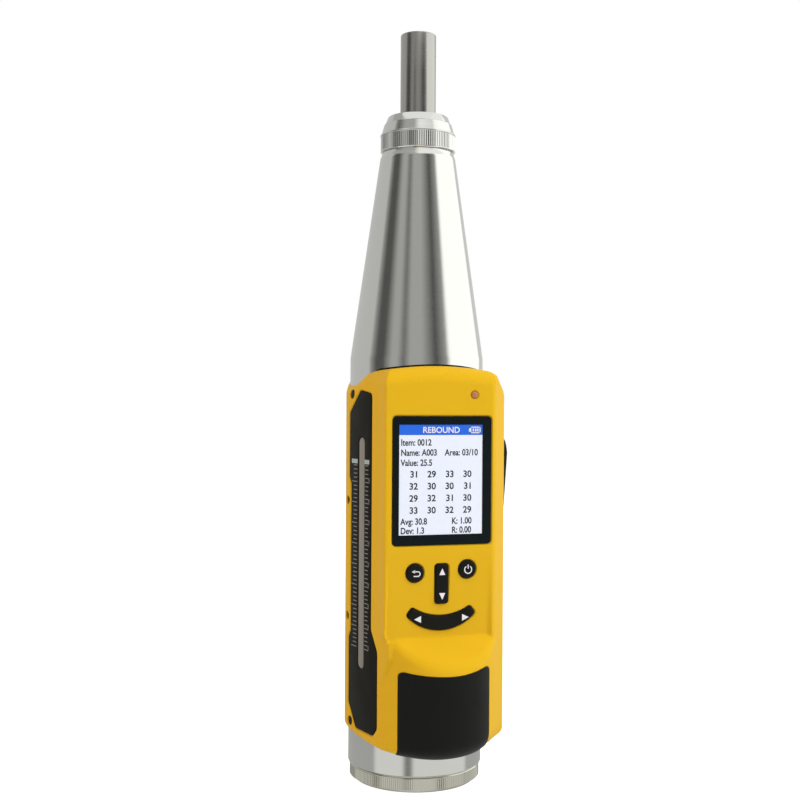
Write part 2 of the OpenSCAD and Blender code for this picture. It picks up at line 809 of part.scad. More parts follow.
module rider() color("black") rotate([0, 0, rider_turn]) difference() {
    union() {
        translate([-rider_out, -rider_w / 2, rider_z]) cube([rider_out - rider_in, rider_w, rider_h]);
        translate([-rider_out - 0.3, -rider_w / 2, rider_z + rider_h / 2 - 0.3]) cube([1, rider_w, 0.6]);
    }
    translate([-rider_at, 0, 0]) cylinder(h = far, r = rider_rod_r + run);
}

module rider_rod() color("silver") rotate([0, 0, rider_turn])
    translate([-rider_at, 0, rider_rod_z0]) cylinder(h = rider_rod_z1 - rider_rod_z0, r = rider_rod_r);

module lock_button() color("black") intersection() {
    lock_slab(bar_x, cover_half + lock_proud + 1, 0);
    translate([cover_half + lock_proud - lock_h * 1.35, -lock_at[0], lock_at[1] + lock_crest])
        sphere(lock_h * 1.35, $fn = 128);
}

module lock_bar() color("silver") {
    low = lock_pin_z - 2 * lock_pin_r;
    high = lock_at[1] + lock_h / 2 + bar_w;
    translate([bar_x - bar_t, -bar_y - bar_w / 2, low]) cube([bar_t, bar_w, high - low]);
    translate([lock_pin_tip, -bar_y, lock_pin_z]) rotate([0, 90, 0])
        cylinder(h = bar_x - bar_t - lock_pin_tip + eps, r = lock_pin_r);
}

module button_spring() color("slategray")
    translate([0, -bar_y, lock_at[1]]) rotate([0, 90, 0])
        coil(button_spring_r, button_wire, spring_seat_x + seat, bar_x - bar_t - seat, 3);

// Front half of the cover, hollowed, with the step for the rear half's tongue
module cover_shell() difference() {
    intersection() {
        cover_form();
        translate([-far, -far, 0]) cube([2 * far, far - split_y, far]);
    }
    cylinder(h = far, r = fit_r);
    cover_room();
    intersection() {
        cylinder(h = far, r = lap_r + seat);
        translate([-far, -lap_y - seat, 0]) cube([2 * far, far, far]);
    }
}

module front_cover() color("gold") difference() {
    cover_shell();
    front_slab(lip_y, far) translate([0, glass_z]) round_plate(glass_w + 0.2, glass_h + 0.2, glass_corner);
    front_slab(0, far) translate([0, glass_z]) square([lcd_w + 1, lcd_h + 1], center = true);
    front_slab(0, far) key_outline(back_at, key_gap);
    front_slab(0, far) key_outline(power_at, key_gap);
    front_slab(0, far) rocker_outline(key_gap);
    front_slab(0, far) arc_outline(key_gap);
    front_slab(0, far) translate(led_at) circle(led_d / 2 + seat);
    facet_slab(-panel_t, far) panel_outline(panel_gap);
    facet_slab(-far / 10, far) window_outline(0);
    lock_slab(cover_half - 2 * cover_wall, far, pass);
    at_side_screws() cylinder(h = far, r = screw_r + seat);
    at_side_screws() translate([0, 0, screw_seat_x]) cylinder(h = far, r = screw_head_r + seat);
    difference() {
        front_slab(pad_back - pad_gap, far) pad_outline(pad_gap);
        bulge(pad_deep);
    }
}

module rear_cover() color("gold") difference() {
    union() {
        intersection() {
            cover_form();
            translate([-far, -split_y + seat, 0]) cube([2 * far, far, far]);
        }
        intersection() {
            front_slab(-far, far) front_view(0);
            translate([0, 0, cover_z0]) cylinder(h = cover_z1 - cover_z0 + 1, r = lap_r, $fn = 128);
            translate([-far, -lap_y, 0]) cube([2 * far, far, far]);
        }
    }
    cylinder(h = far, r = fit_r);
    at_side_screws() cylinder(h = far, r = screw_r + seat);
}

module cover_screws() color("black") at_side_screws() {
    translate([0, 0, bore_r + 0.4]) cylinder(h = screw_seat_x - bore_r - 0.4 + eps, r = screw_r);
    difference() {
        translate([0, 0, screw_seat_x]) cylinder(h = 0.6, r = screw_head_r);
        translate([-0.8, -0.2, screw_seat_x + 0.25]) cube([1.6, 0.4, 1]);
        translate([-0.2, -0.8, screw_seat_x + 0.25]) cube([0.4, 1.6, 1]);
    }
}

module scale_panel() color("black") difference() {
    facet_slab(-panel_t, 0) panel_outline(0);
    facet_slab(-far, far) window_outline(0);
}

module scale_window() color("darkgray") facet_slab(-panel_t - 2 * window_sink, -window_sink) window_outline(-window_gap);

module display_window() color("black") front_slab(lip_y + seat, front_y + 0.2)
    translate([0, glass_z]) round_plate(glass_w, glass_h, glass_corner);

module display_module() color("aliceblue") front_slab(board_y + seat, lcd_y)
    translate([0, glass_z]) square([lcd_w + 2 * lcd_frame, lcd_h + 2 * lcd_frame], center = true);

module main_board() color("darkgreen") difference() {
    front_slab(saddle_y, board_y) translate([-board_w / 2, board_z0]) square([board_w, board_z1 - board_z0]);
    front_slab(0, far) at_board_screws() circle(board_screw_r + seat);
}

// Places of the board screws, in the corners of the saddle
module at_board_screws() {
    for (x = [-1, 1], z = [board_z0 + 2 * saddle_margin, board_z1 - 2 * saddle_margin])
        translate([x * (saddle_w / 2 - board_screw_in), z]) children();
}

module board_screws() color("silver") {
    front_slab(saddle_y - board_screw_reach, board_y + eps) at_board_screws() circle(board_screw_r);
    front_slab(board_y, board_y + board_head_t) at_board_screws() circle(board_head_r);
}

module saddle() color("dimgray") difference() {
    front_slab(saddle_y - saddle_deep, saddle_y) translate([-saddle_w / 2, board_z0 + saddle_margin])
        square([saddle_w, board_z1 - board_z0 - 2 * saddle_margin]);
    cylinder(h = far, r = fit_r);
    front_slab(saddle_y - board_screw_reach - seat, far) at_board_screws() circle(board_screw_r + seat);
}

module keypad_mat() color("dimgray") {
    difference() {
        front_slab(board_y + seat, mat_y) translate([-board_w / 2 + mat_margin, board_z0 + saddle_margin / 4])
            square([board_w - 2 * mat_margin, glass_z - glass_h / 2 - board_z0 - mat_margin]);
        front_slab(0, far) at_board_screws() circle(board_head_r + pass);
    }
    front_slab(mat_y - eps, key_back - 2 * seat) {
        translate(rocker_at) square([rocker_w - 1, rib_w], center = true);
        translate([-rib_w / 2, arc_z + 1]) square([rib_w, arc_t - 2]);
    }
}

// Key with a flange behind the cover's wall
module key_form() {
    front_slab(key_back, front_y + key_proud) children(0);
    front_slab(key_back, key_back + key_flange) children(1);
}

module back_key() color("black") key_form() {
    key_outline(back_at, 0);
    key_outline(back_at, 2 * key_gap);
}

module power_key() color("black") key_form() {
    key_outline(power_at, 0);
    key_outline(power_at, 2 * key_gap);
}

module up_down_key() color("black") front_slab(key_back, front_y + key_proud) rocker_outline(0);

module left_right_key() color("black") front_slab(key_back, front_y + key_proud) arc_outline(0);

module indicator_light() color("rosybrown") front_slab(board_y + seat, front_y + 0.3)
    translate(led_at) circle(led_d / 2);

module palm_pad() color("black") difference() {
    intersection() {
        bulge(-pad_proud);
        front_slab(pad_back, far) pad_outline(0);
        front_slab(0, far) front_view(0);
    }
    bulge(pad_deep - seat);
}

module battery_pack() color("steelblue") front_slab(battery_y, battery_y + battery_t)
    translate([0, battery_z0 + battery_h / 2]) round_plate(battery_w, battery_h, 2);

module battery_tray() color("dimgray") difference() {
    w = battery_w / 2 + seat + tray_lip_t;
    front_slab(bulge_mid_y + 4, battery_y + tray_lip) translate([-w, battery_z0 - tray_lip_t])
        square([2 * w, battery_h + 2 * tray_lip_t]);
    front_slab(battery_y - seat, far) translate([0, battery_z0 + battery_h / 2])
        square([battery_w + 2 * seat, battery_h + 2 * seat], center = true);
    cylinder(h = far, r = fit_r);
}

module sensor_strip() color("darkgreen") rotate([0, 0, rider_turn + strip_turn])
    translate([-fit_r - strip_t, -strip_w / 2, window_z0]) cube([strip_t, strip_w, window_z1 - window_z0]);

tube_housing();
nose_cap();
felt_ring();
split_ring();
guide_sleeve();
plunger();
buffer_spring();
guide_rod();
guide_flange();
pawl();
pawl_pin();
pawl_spring();
hammer_mass();
impact_spring();
return_spring();
rear_cap();
trip_screw();
lock_nut();
rider();
rider_rod();
lock_button();
lock_bar();
button_spring();
front_cover();
rear_cover();
cover_screws();
scale_panel();
scale_window();
display_window();
display_module();
main_board();
board_screws();
saddle();
keypad_mat();
back_key();
power_key();
up_down_key();
left_right_key();
indicator_light();
palm_pad();
battery_pack();
battery_tray();
sensor_strip();
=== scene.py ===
"""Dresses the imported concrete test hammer: moulded cover, turned metal, display, keys, scale, pad and screws."""

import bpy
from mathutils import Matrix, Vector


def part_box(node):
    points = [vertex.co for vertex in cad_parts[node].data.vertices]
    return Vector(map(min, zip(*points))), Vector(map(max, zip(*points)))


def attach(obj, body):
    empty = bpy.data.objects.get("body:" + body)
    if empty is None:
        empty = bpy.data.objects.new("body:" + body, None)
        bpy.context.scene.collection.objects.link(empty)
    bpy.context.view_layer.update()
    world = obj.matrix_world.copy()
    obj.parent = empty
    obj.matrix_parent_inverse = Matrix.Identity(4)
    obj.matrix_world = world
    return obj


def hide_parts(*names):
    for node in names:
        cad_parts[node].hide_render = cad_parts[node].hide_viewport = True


bl_info = {
    "name": "Concrete Test Hammer",
    "version": (1, 0, 0),
    "blender": (4, 5, 0),
    "location": "View3D > Sidebar > Test Hammer",
    "description": "Builds the looks of a concrete test hammer on its packed solids",
    "category": "Object",
}

import math

import bmesh
import bpy
import numpy as np
from bpy.props import FloatProperty, FloatVectorProperty, IntProperty, PointerProperty
from mathutils import Matrix, Vector

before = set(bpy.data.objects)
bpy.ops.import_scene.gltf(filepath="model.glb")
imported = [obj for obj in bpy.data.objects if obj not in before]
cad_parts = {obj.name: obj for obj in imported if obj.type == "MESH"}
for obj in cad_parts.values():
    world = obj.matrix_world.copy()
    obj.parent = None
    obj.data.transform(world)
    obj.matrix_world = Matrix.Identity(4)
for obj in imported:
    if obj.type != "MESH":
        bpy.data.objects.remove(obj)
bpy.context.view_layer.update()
MM = 0.001


def linear(code):
    """Linear colour of an sRGB hex code."""
    parts = [int(code[i:i + 2], 16) / 255 for i in (1, 3, 5)]
    return [p / 12.92 if p <= 0.04045 else ((p + 0.055) / 1.055) ** 2.4 for p in parts]


def span(name):
    """Lowest and highest corner of a CAD node, in millimetres."""
    low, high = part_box(name)
    return np.array(low) / MM, np.array(high) / MM


def length(name, description, default):
    """A length that a user may change, given in millimetres."""
    return FloatProperty(name=name, description=description, default=float(default) * MM, subtype="DISTANCE")


def tint(name, description, code):
    """A colour that a user may change, given as an sRGB hex code."""
    return FloatVectorProperty(name=name, description=description, default=linear(code), subtype="COLOR", size=3,
                               min=0.0, max=1.0)


COVER_LOW, COVER_HIGH = span("front_cover")
TUBE_LOW, TUBE_HIGH = span("tube_housing")
NOSE_TOP = span("nose_cap")[1][2]
PLUNGER_LOW, PLUNGER_HIGH = span("plunger")
GLASS_LOW, GLASS_HIGH = span("display_window")
LIGHT_LOW, LIGHT_HIGH = span("indicator_light")
LOCK_LOW, LOCK_HIGH = span("lock_button")
# How far the camera stands round from the front towards the scale
CAMERA_TURN = math.radians(17)
# Height of the seam between nose cap and cone, and radius of the bore in the cover
NOSE_Z, COVER_BORE = 263.0, 28.05
# Side of the axis on which the rider's rod stands, and its place
RIDER_TURN = Matrix.Rotation(math.radians(25), 3, "Z")
RIDER_AT = RIDER_TURN @ Vector((-22.6, 0, 0))
# Distance of the lock bar from the axis towards the front, and height of the lowest scale mark
LOCK_BAR_F, SCALE_Z = 19.2, 57.4
# Edges that turn by more than this many degrees stay sharp
SHARP = 32.0


class HammerSizes(bpy.types.PropertyGroup):
    """Sizes of the dressed hammer."""
    cover_half: length("Cover half width", "Half width of the cover across the body", 29.9)
    front: length("Front distance", "Distance of the flat front from the axis", 35)
    bulge: length("Bulge distance", "Distance of the bulge's foremost point from the axis", 45.6)
    bulge_radius: length("Bulge radius", "Plan radius of the bulge", 28)
    bulge_height: length("Bulge height", "Height at which the bulge leaves the flat front", 64.7)
    crown: length("Crown radius", "Radius of the cover's upper front edge", 7)
    foot: length("Foot radius", "Radius of the bulge's lower edge, in the middle", 7)
    wall: length("Cover wall", "Wall of the cover", 1.8)
    tray: length("Tray depth", "Depth of the shallow tray between the rails, at its lower end", 1.0)
    pad_width: length("Pad width", "Width of the palm pad", 37)
    pad_top: length("Pad top", "Height of the palm pad's upper edge, in the middle", 50.8)
    tick_pitch: length("Tick pitch", "Distance from one scale mark to the next", 1.69)
    nose_ribs: IntProperty(name="Nose ribs", description="Ribs round the nose cap", default=104, min=20, max=200)
    cap_ribs: IntProperty(name="Rear ribs", description="Ribs round the rear cap", default=190, min=20, max=300)


class HammerColours(bpy.types.PropertyGroup):
    """Colours of the dressed hammer."""
    cover: tint("Cover", "Yellow moulded plastic", "#E8B81E")
    pad: tint("Pad", "Black rubber of the pad and keys", "#0E0F0B")
    panel: tint("Panel", "Black plastic of the scale panel", "#1B1C18")
    window: tint("Window", "Grey strip of the scale", "#86837B")
    glass: tint("Glass", "Printed frame of the display window", "#131A1C")
    screen: tint("Screen", "Lit display", "#E6EDFB")
    header: tint("Header", "Title bar of the display", "#2268E0")
    ink: tint("Ink", "Writing on the display", "#07080B")
    marking: tint("Marking", "White symbols on the keys", "#F1F0F4")
    tick: tint("Tick", "Scale marks", "#80817C")
    light: tint("Light", "Indicator light", "#B47A55")
    metal: tint("Metal", "Turned aluminium", "#DCDCD8")
    steel: tint("Steel", "Ground steel of the plunger", "#B0AFAA")


def put(name, data):
    """A new object in the scene."""
    obj = bpy.data.objects.new(name, data)
    bpy.context.scene.collection.objects.link(obj)
    return obj


def node(tree, kind, values=None, **settings):
    """Adds a node, sets its options and fills its inputs: a socket is linked, anything else is the input's value."""
    made = tree.nodes.new(kind)
    for key, value in settings.items():
        setattr(made, key, value)
    for key, value in (values or {}).items():
        if isinstance(value, bpy.types.NodeSocket):
            tree.links.new(value, made.inputs[key])
        else:
            made.inputs[key].default_value = value
    return made


def socket(tree, kind, values=None, **settings):
    """The first output of a new node."""
    return node(tree, kind, values, **settings).outputs[0]


def blank(name):
    """A new material and its empty node tree."""
    mat = bpy.data.materials.new(name)
    mat.use_nodes = True
    mat.node_tree.nodes.clear()
    return mat, mat.node_tree


def finish(name, colour, roughness, grain, relief, drift, matt, stretch=1, **sockets):
    """A surface with a fine pattern. grain is the pattern's size and relief its depth in millimetres, drift the share
    by which the colour and matt the amount by which the roughness wander, stretch how far it is drawn out sideways."""
    mat, tree = blank(name)
    place = node(tree, "ShaderNodeTexCoord").outputs["Object"]
    drawn = socket(tree, "ShaderNodeMapping", {"Vector": place, "Scale": (1 / stretch, 1 / stretch, 1)})
    fine = socket(tree, "ShaderNodeTexNoise", {"Vector": drawn, "Scale": 1 / (grain * MM), "Detail": 3.0})
    broad = socket(tree, "ShaderNodeTexNoise", {"Vector": drawn, "Scale": 1 / (24 * grain * MM)})
    summed = socket(tree, "ShaderNodeMath", {0: fine, 1: broad}, operation="ADD")
    share = socket(tree, "ShaderNodeMath", {0: summed, 1: 0.5}, operation="MULTIPLY")
    dark = [c * (1 - drift) for c in colour] + [1]
    pale = [min(1, c * (1 + drift)) for c in colour] + [1]
    hue = node(tree, "ShaderNodeMix", {0: share, 6: dark, 7: pale}, data_type="RGBA").outputs[2]
    rough = socket(tree, "ShaderNodeMapRange", {
        "Value": share, "From Min": 0.3, "From Max": 0.7,
        "To Min": max(0.02, roughness - matt), "To Max": roughness + matt})
    bump = socket(tree, "ShaderNodeBump", {"Height": fine, "Strength": 1.0, "Distance": relief * MM})
    values = {"Base Color": hue, "Roughness": rough, "Normal": bump, **sockets}
    if stretch != 1:
        values["Tangent"] = socket(tree, "ShaderNodeTangent", direction_type="RADIAL", axis="Z")
    node(tree, "ShaderNodeOutputMaterial", {"Surface": socket(tree, "ShaderNodeBsdfPrincipled", values)})
    return mat


MATERIALS = {}


def mix_finishes(c):
    """Makes every finish once, from the colours that the user set."""
    spec, lay = "Specular IOR Level", {"Metallic": 1.0, "Anisotropic Rotation": 0.25}

    def lit(colour):
        return {"Emission Color": [*colour, 1], "Emission Strength": 0.12}

    # Each row has the key, name and colour, then roughness, grain, relief, drift, matt, other inputs and stretch
    table = (
        # Turned aluminium: bright, with fine tool lines round the axis that draw reflections out along it
        ("turned", "turned_aluminium", c.metal, 0.14, 0.5, 0.0012, 0.03, 0.04, {**lay, "Anisotropic": 0.6}, 40),
        # Ground steel: darker than the aluminium, with a finer lay
        ("ground", "ground_steel", c.steel, 0.22, 0.4, 0.0012, 0.05, 0.05, {**lay, "Anisotropic": 0.5}, 30),
        # Nickel plate of the rear cap: a warmer and darker grey than the body
        ("ring", "nickel_plate", "#C9C7BA", 0.17, 0.5, 0.0012, 0.04, 0.05, {**lay, "Anisotropic": 0.5}, 40),
        # Machined steel of the inner parts: plain grey metal with a slight mottle
        ("machined", "machined_steel", "#A3A29E", 0.35, 0.8, 0.003, 0.08, 0.08, {"Metallic": 1.0}),
        # Spring steel: drawn wire, dark with an oily gloss
        ("spring", "spring_steel", "#6E6C68", 0.3, 0.5, 0.004, 0.1, 0.08, {"Metallic": 1.0}),
        # Felt: matt pressed wool with loose fibres
        ("felt", "pressed_felt", "#4A4843", 0.95, 0.35, 0.12, 0.35, 0.04, {}),
        # Moulded ABS: yellow, with the spark grain of the tool and a soft shine
        ("cover", "moulded_abs", c.cover, 0.42, 0.45, 0.006, 0.035, 0.05, {"IOR": 1.53, spec: 0.1}),
        # Black moulded ABS of the scale panel, with a coarser grain
        ("panel", "grained_abs", c.panel, 0.55, 0.4, 0.01, 0.15, 0.06, {"IOR": 1.53, spec: 0.1}),
        # Silicone rubber: near black, dull, with a very fine bloom
        ("rubber", "silicone_rubber", c.pad, 0.6, 0.5, 0.008, 0.12, 0.08,
         {"IOR": 1.43, spec: 0.25, "Sheen Weight": 0.08, "Sheen Roughness": 0.4}),
        # Acrylic strip: grey, with a polished face
        ("window", "grey_acrylic", c.window, 0.22, 1.5, 0.001, 0.06, 0.04, {"IOR": 1.49}),
        # Back printed glass: black ink under a polished face
        ("glass", "printed_glass", c.glass, 0.1, 3.0, 0.0005, 0.06, 0.03, {"IOR": 1.5, spec: 0.25}),
        # Lit display: a pale pixel field behind glass, with a blue title bar and dark writing
        ("screen", "lit_display", c.screen, 0.3, 0.4, 0.0005, 0.015, 0.04, lit(c.screen)),
        ("header", "display_blue", c.header, 0.3, 0.4, 0.0005, 0.03, 0.04, lit(c.header)),
        ("ink", "display_ink", c.ink, 0.4, 0.4, 0.0005, 0.1, 0.04, {}),
        # Pad printed ink: white, grey and pale blue, flat, a little worn
        ("marking", "printed_white", c.marking, 0.5, 0.3, 0.002, 0.05, 0.05, {}),
        ("tick", "printed_grey", c.tick, 0.5, 0.3, 0.002, 0.12, 0.05, {}),
        ("mark", "printed_pale_blue", "#A6BBB8", 0.5, 0.3, 0.002, 0.05, 0.05, {}),
        # Copper tinted lens of the indicator light: clear epoxy over a dark cup
        ("light", "tinted_epoxy", c.light, 0.15, 0.6, 0.002, 0.25, 0.05, {"IOR": 1.5}),
        # Blackened screws: phosphate coat, dull with a hint of metal
        ("screw", "blackened_steel", "#14110F", 0.5, 0.3, 0.004, 0.25, 0.1, {spec: 0.2}),
        # Circuit board: green solder mask over copper, with a mottle of tracks
        ("board", "solder_mask", "#1D4A2C", 0.4, 1.2, 0.01, 0.3, 0.1, {"IOR": 1.5}),
        # Shrink wrap of the battery: blue film with a light gloss
        ("wrap", "shrink_wrap", "#2B5C9A", 0.3, 2.0, 0.01, 0.06, 0.08, {"IOR": 1.5}))
    for key, name, colour, *pattern, sockets, stretch in (row if len(row) > 9 else (*row, 1) for row in table):
        colour = linear(colour) if isinstance(colour, str) else colour
        MATERIALS[key] = finish(name, colour, *pattern, stretch, **sockets)


def settle(obj):
    """Turns what the modifiers of an object give into its own plain mesh."""
    bpy.context.view_layer.update()
    result = bpy.data.meshes.new_from_object(obj.evaluated_get(bpy.context.evaluated_depsgraph_get()))
    obj.modifiers.clear()
    obj.data = result
    return obj


def make(name, verts, faces, *finishes, picks=None, sharp=SHARP, merge=True):
    """A mesh object from points in millimetres. picks holds the number of the finish for each face."""
    mesh = bpy.data.meshes.new(name)
    mesh.from_pydata((np.asarray(verts, float) * MM).tolist(), [], [list(map(int, f)) for f in faces])
    for each in finishes:
        mesh.materials.append(MATERIALS[each])
    if picks is not None:
        mesh.polygons.foreach_set("material_index", np.asarray(picks, np.int32))
    shape = bmesh.new()
    shape.from_mesh(mesh)
    if merge:
        bmesh.ops.remove_doubles(shape, verts=shape.verts, dist=1e-7)
    bmesh.ops.recalc_face_normals(shape, faces=shape.faces)
    shape.to_mesh(mesh)
    shape.free()
    smooth(mesh, sharp)
    return put(name, mesh)


def smooth(mesh, sharp):
    """Smooth shading, with edges past an angle left sharp."""
    mesh.shade_smooth()
    mesh.set_sharp_from_angle(angle=math.radians(sharp))


def carve(obj, cutters, sharp=SHARP):
    """Cuts an object by others, which are used up."""
    for cutter in cutters:
        cut = obj.modifiers.new("cut", "BOOLEAN")
        cut.operation, cut.solver, cut.object = "DIFFERENCE", "MANIFOLD", cutter
    settle(obj)
    for cutter in cutters:
        bpy.data.objects.remove(cutter)
    if not obj.data.polygons:
        raise RuntimeError(f"nothing is left of {obj.name} after cutting")
    smooth(obj.data, sharp)
    return obj


def fit(obj, body, slot, *nodes):
    """Puts a finished piece on its body and hides the CAD nodes that it stands for. The slot argument is not used."""
    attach(obj, body)
    if nodes:
        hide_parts(*nodes)
    return obj


def join(name, *parts):
    """One object from several, each with its own finishes."""
    shape, finishes = bmesh.new(), []
    for part in parts:
        shift = {}
        for i, mat in enumerate(part.data.materials):
            if mat not in finishes:
                finishes.append(mat)
            shift[i] = finishes.index(mat)
        start = len(shape.faces)
        shape.from_mesh(part.data)
        shape.faces.ensure_lookup_table()
        for face in shape.faces[start:]:
            face.material_index = shift.get(face.material_index, 0)
        bpy.data.objects.remove(part)
    mesh = bpy.data.meshes.new(name)
    for mat in finishes:
        mesh.materials.append(mat)
    shape.to_mesh(mesh)
    shape.free()
    return put(name, mesh)


def rounded(points, radius, steps=5):
    """A line of corner points with each corner turned into an arc. radius is one number, or one for each corner."""
    points = [np.array(p, float) for p in points]
    radii = [radius] * len(points) if np.isscalar(radius) else radius
    line = []
    for i, (p, r) in enumerate(zip(points, radii)):
        before, after = points[i - 1] - p, points[(i + 1) % len(points)] - p
        a, b = before / np.linalg.norm(before), after / np.linalg.norm(after)
        angle = math.acos(max(-1.0, min(1.0, float(a @ b))))
        if angle > 3.1:  # as good as straight
            line.append(p)
            continue
        back = min(r / math.tan(angle / 2), 0.49 * np.linalg.norm(before), 0.49 * np.linalg.norm(after))
        r = back * math.tan(angle / 2)
        middle = p + (a + b) / np.linalg.norm(a + b) * r / math.sin(angle / 2)
        first, last = p + a * back - middle, p + b * back - middle
        start = math.atan2(first[1], first[0])
        turn = (math.atan2(last[1], last[0]) - start + math.pi) % (2 * math.pi) - math.pi
        line += [middle + r * np.array((math.cos(start + turn * k / steps), math.sin(start + turn * k / steps)))
                 for k in range(steps + 1)]
    return np.array(line)


def inset(outline, distance):
    """A closed outline, anticlockwise, moved inwards by a distance."""
    edges = np.roll(outline, -1, 0) - outline
    edges /= np.linalg.norm(edges, axis=1)[:, None] + 1e-12
    inward = np.stack((-edges[:, 1], edges[:, 0]), 1)
    pair = inward + np.roll(inward, 1, 0)
    lean = 1 + (inward * np.roll(inward, 1, 0)).sum(1)
    return outline + pair * (distance / np.maximum(lean, 0.3))[:, None]


def anticlockwise(outline):
    outline = np.asarray(outline, float)
    following = np.roll(outline, -1, 0)
    area = (outline[:, 0] * following[:, 1] - outline[:, 1] * following[:, 0]).sum()
    return outline if area > 0 else outline[::-1]


def quads(rows, size, closed=False):
    """Faces between rows of points that each run round, the last row joined to the first where closed."""
    return [(k * size + i, k * size + (i + 1) % size, (k + 1) % rows * size + (i + 1) % size, (k + 1) % rows * size + i)
            for k in range(rows if closed else rows - 1) for i in range(size)]


def loft(rings):
    """Points and faces of a closed body through closed rings of points, with flat ends."""
    rings = np.asarray(rings, float)
    count, size = rings.shape[:2]
    ends = [tuple(range(size))[::-1], tuple(range((count - 1) * size, count * size))]
    return rings.reshape(-1, 3), quads(count, size) + ends


def plate(outline, levels, place):
    """A plate raised from an outline. levels are pairs of an inset and a height, place turns them into points."""
    outline = anticlockwise(outline)
    return loft([place(*inset(outline, d).T, np.full(len(outline), float(h))) for d, h in levels])


def slab(name, outline, levels, place, *finishes, **options):
    """A plate as an object."""
    return make(name, *plate(outline, levels, place), *finishes, **options)


def disc(centre, radius, steps=48):
    turn = np.linspace(0, 2 * math.pi, steps, endpoint=False)
    return np.stack((centre[0] + radius * np.cos(turn), centre[1] + radius * np.sin(turn)), 1)


def rectangle(x0, z0, x1, z1):
    return [(x0, z0), (x1, z0), (x1, z1), (x0, z1)]


def stadium(mid, low, high, r):
    """Outline of a slot with round ends, between the middles of these."""
    turn = np.linspace(0, math.pi, 17)
    return np.array([(mid + r * math.cos(t), high + r * math.sin(t)) for t in turn]
                    + [(mid - r * math.cos(t), low - r * math.sin(t)) for t in turn])


def lathe(profile, steps=192):
    """Points and faces of a body turned round Z from a closed line of radius and height."""
    rings = [np.column_stack((disc((0, 0), r, steps), np.full(steps, z))) for r, z in profile]
    return np.concatenate(rings), quads(len(profile), steps, True)


def on_front(x, z, h):
    """Points from places across and up and a distance from the axis towards the front."""
    return np.stack((x, -h, z), -1)


# Lean of the scale side, and the place beside the axis where it starts
FACET = math.radians(13)
FACET_X, FACET_Y = -29.9, -2.0


def on_facet(a, z, h):
    """Points from places along the scale side and up and a height above that side."""
    return np.stack((FACET_X + math.sin(FACET) * a - math.cos(FACET) * h,
                     FACET_Y - math.cos(FACET) * a - math.sin(FACET) * h, z), -1)


def along(f):
    """Place along the scale side of a distance from the axis towards the front."""
    return (np.asarray(f, float) + FACET_Y) / math.cos(FACET)


def on_right(y, z, h):
    """Points on the button side, from places towards the front and up and a distance from the axis."""
    return np.stack((h, -y, z), -1)


def both(a, b, r):
    """Distance to what is inside two forms, their edge rounded to a radius."""
    return np.minimum(np.maximum(a, b), -r) + np.hypot(np.maximum(a + r, 0), np.maximum(b + r, 0))


def either(a, b, r):
    """Distance to what is inside one form or the other, with a fillet between them."""
    return -both(-a, -b, r)


def ease(t):
    t = np.clip(t, 0, 1)
    return t * t * (3 - 2 * t)


def arch_of(s, x):
    """How far the arched upper and lower edges have fallen back at a place across the cover."""
    half, rise = s.cover_half / MM, 3.5
    r = (half * half + rise * rise) / (2 * rise)
    return r - np.sqrt(np.maximum(r * r - x * x, 1.0))


def bulge_form(s, x, f, z):
    """Distance to the grip bulge. f is the distance from the axis towards the front."""
    half, r = s.cover_half / MM, s.bulge_radius / MM
    mid, tray = s.bulge / MM - r, s.tray / MM
    slim = 0.9 * ease((x - 12) / 12)
    plan = np.where(f > mid, np.hypot(x - (half - r), f - mid) - r + slim, np.abs(x) - half + 0.9)
    rise, run = 10.0, s.bulge / MM - s.front / MM + tray - 0.3
    slope = ((f - s.front / MM + tray) * rise + (z - s.bulge_height / MM + 0.5) * run) / math.hypot(rise, run)
    return both(plan, slope, 2.2)


def tray_depth(s, z):
    """How far the tray's floor lies below the flat front: it runs out under the display."""
    return s.tray / MM * np.interp(z, [60, 66, 98], [1.3, 1.3, 0])


def foot_round(s, x, f):
    """Radius of the cover's lower edge: small at the sides, large under the bulge, larger towards the button side."""
    deep = s.foot / MM / 7.0 * np.interp(x, [-25, -14, 4, 18], [0.0, 3.6, 6.0, 7.2])
    return 0.8 + deep * ease((f - 22) / 10)


def grip_form(s, x, f, z):
    """Distance to the bulge with its round foot."""
    return both(bulge_form(s, x, f, z), COVER_LOW[2] + arch_of(s, x) - z, foot_round(s, x, f))


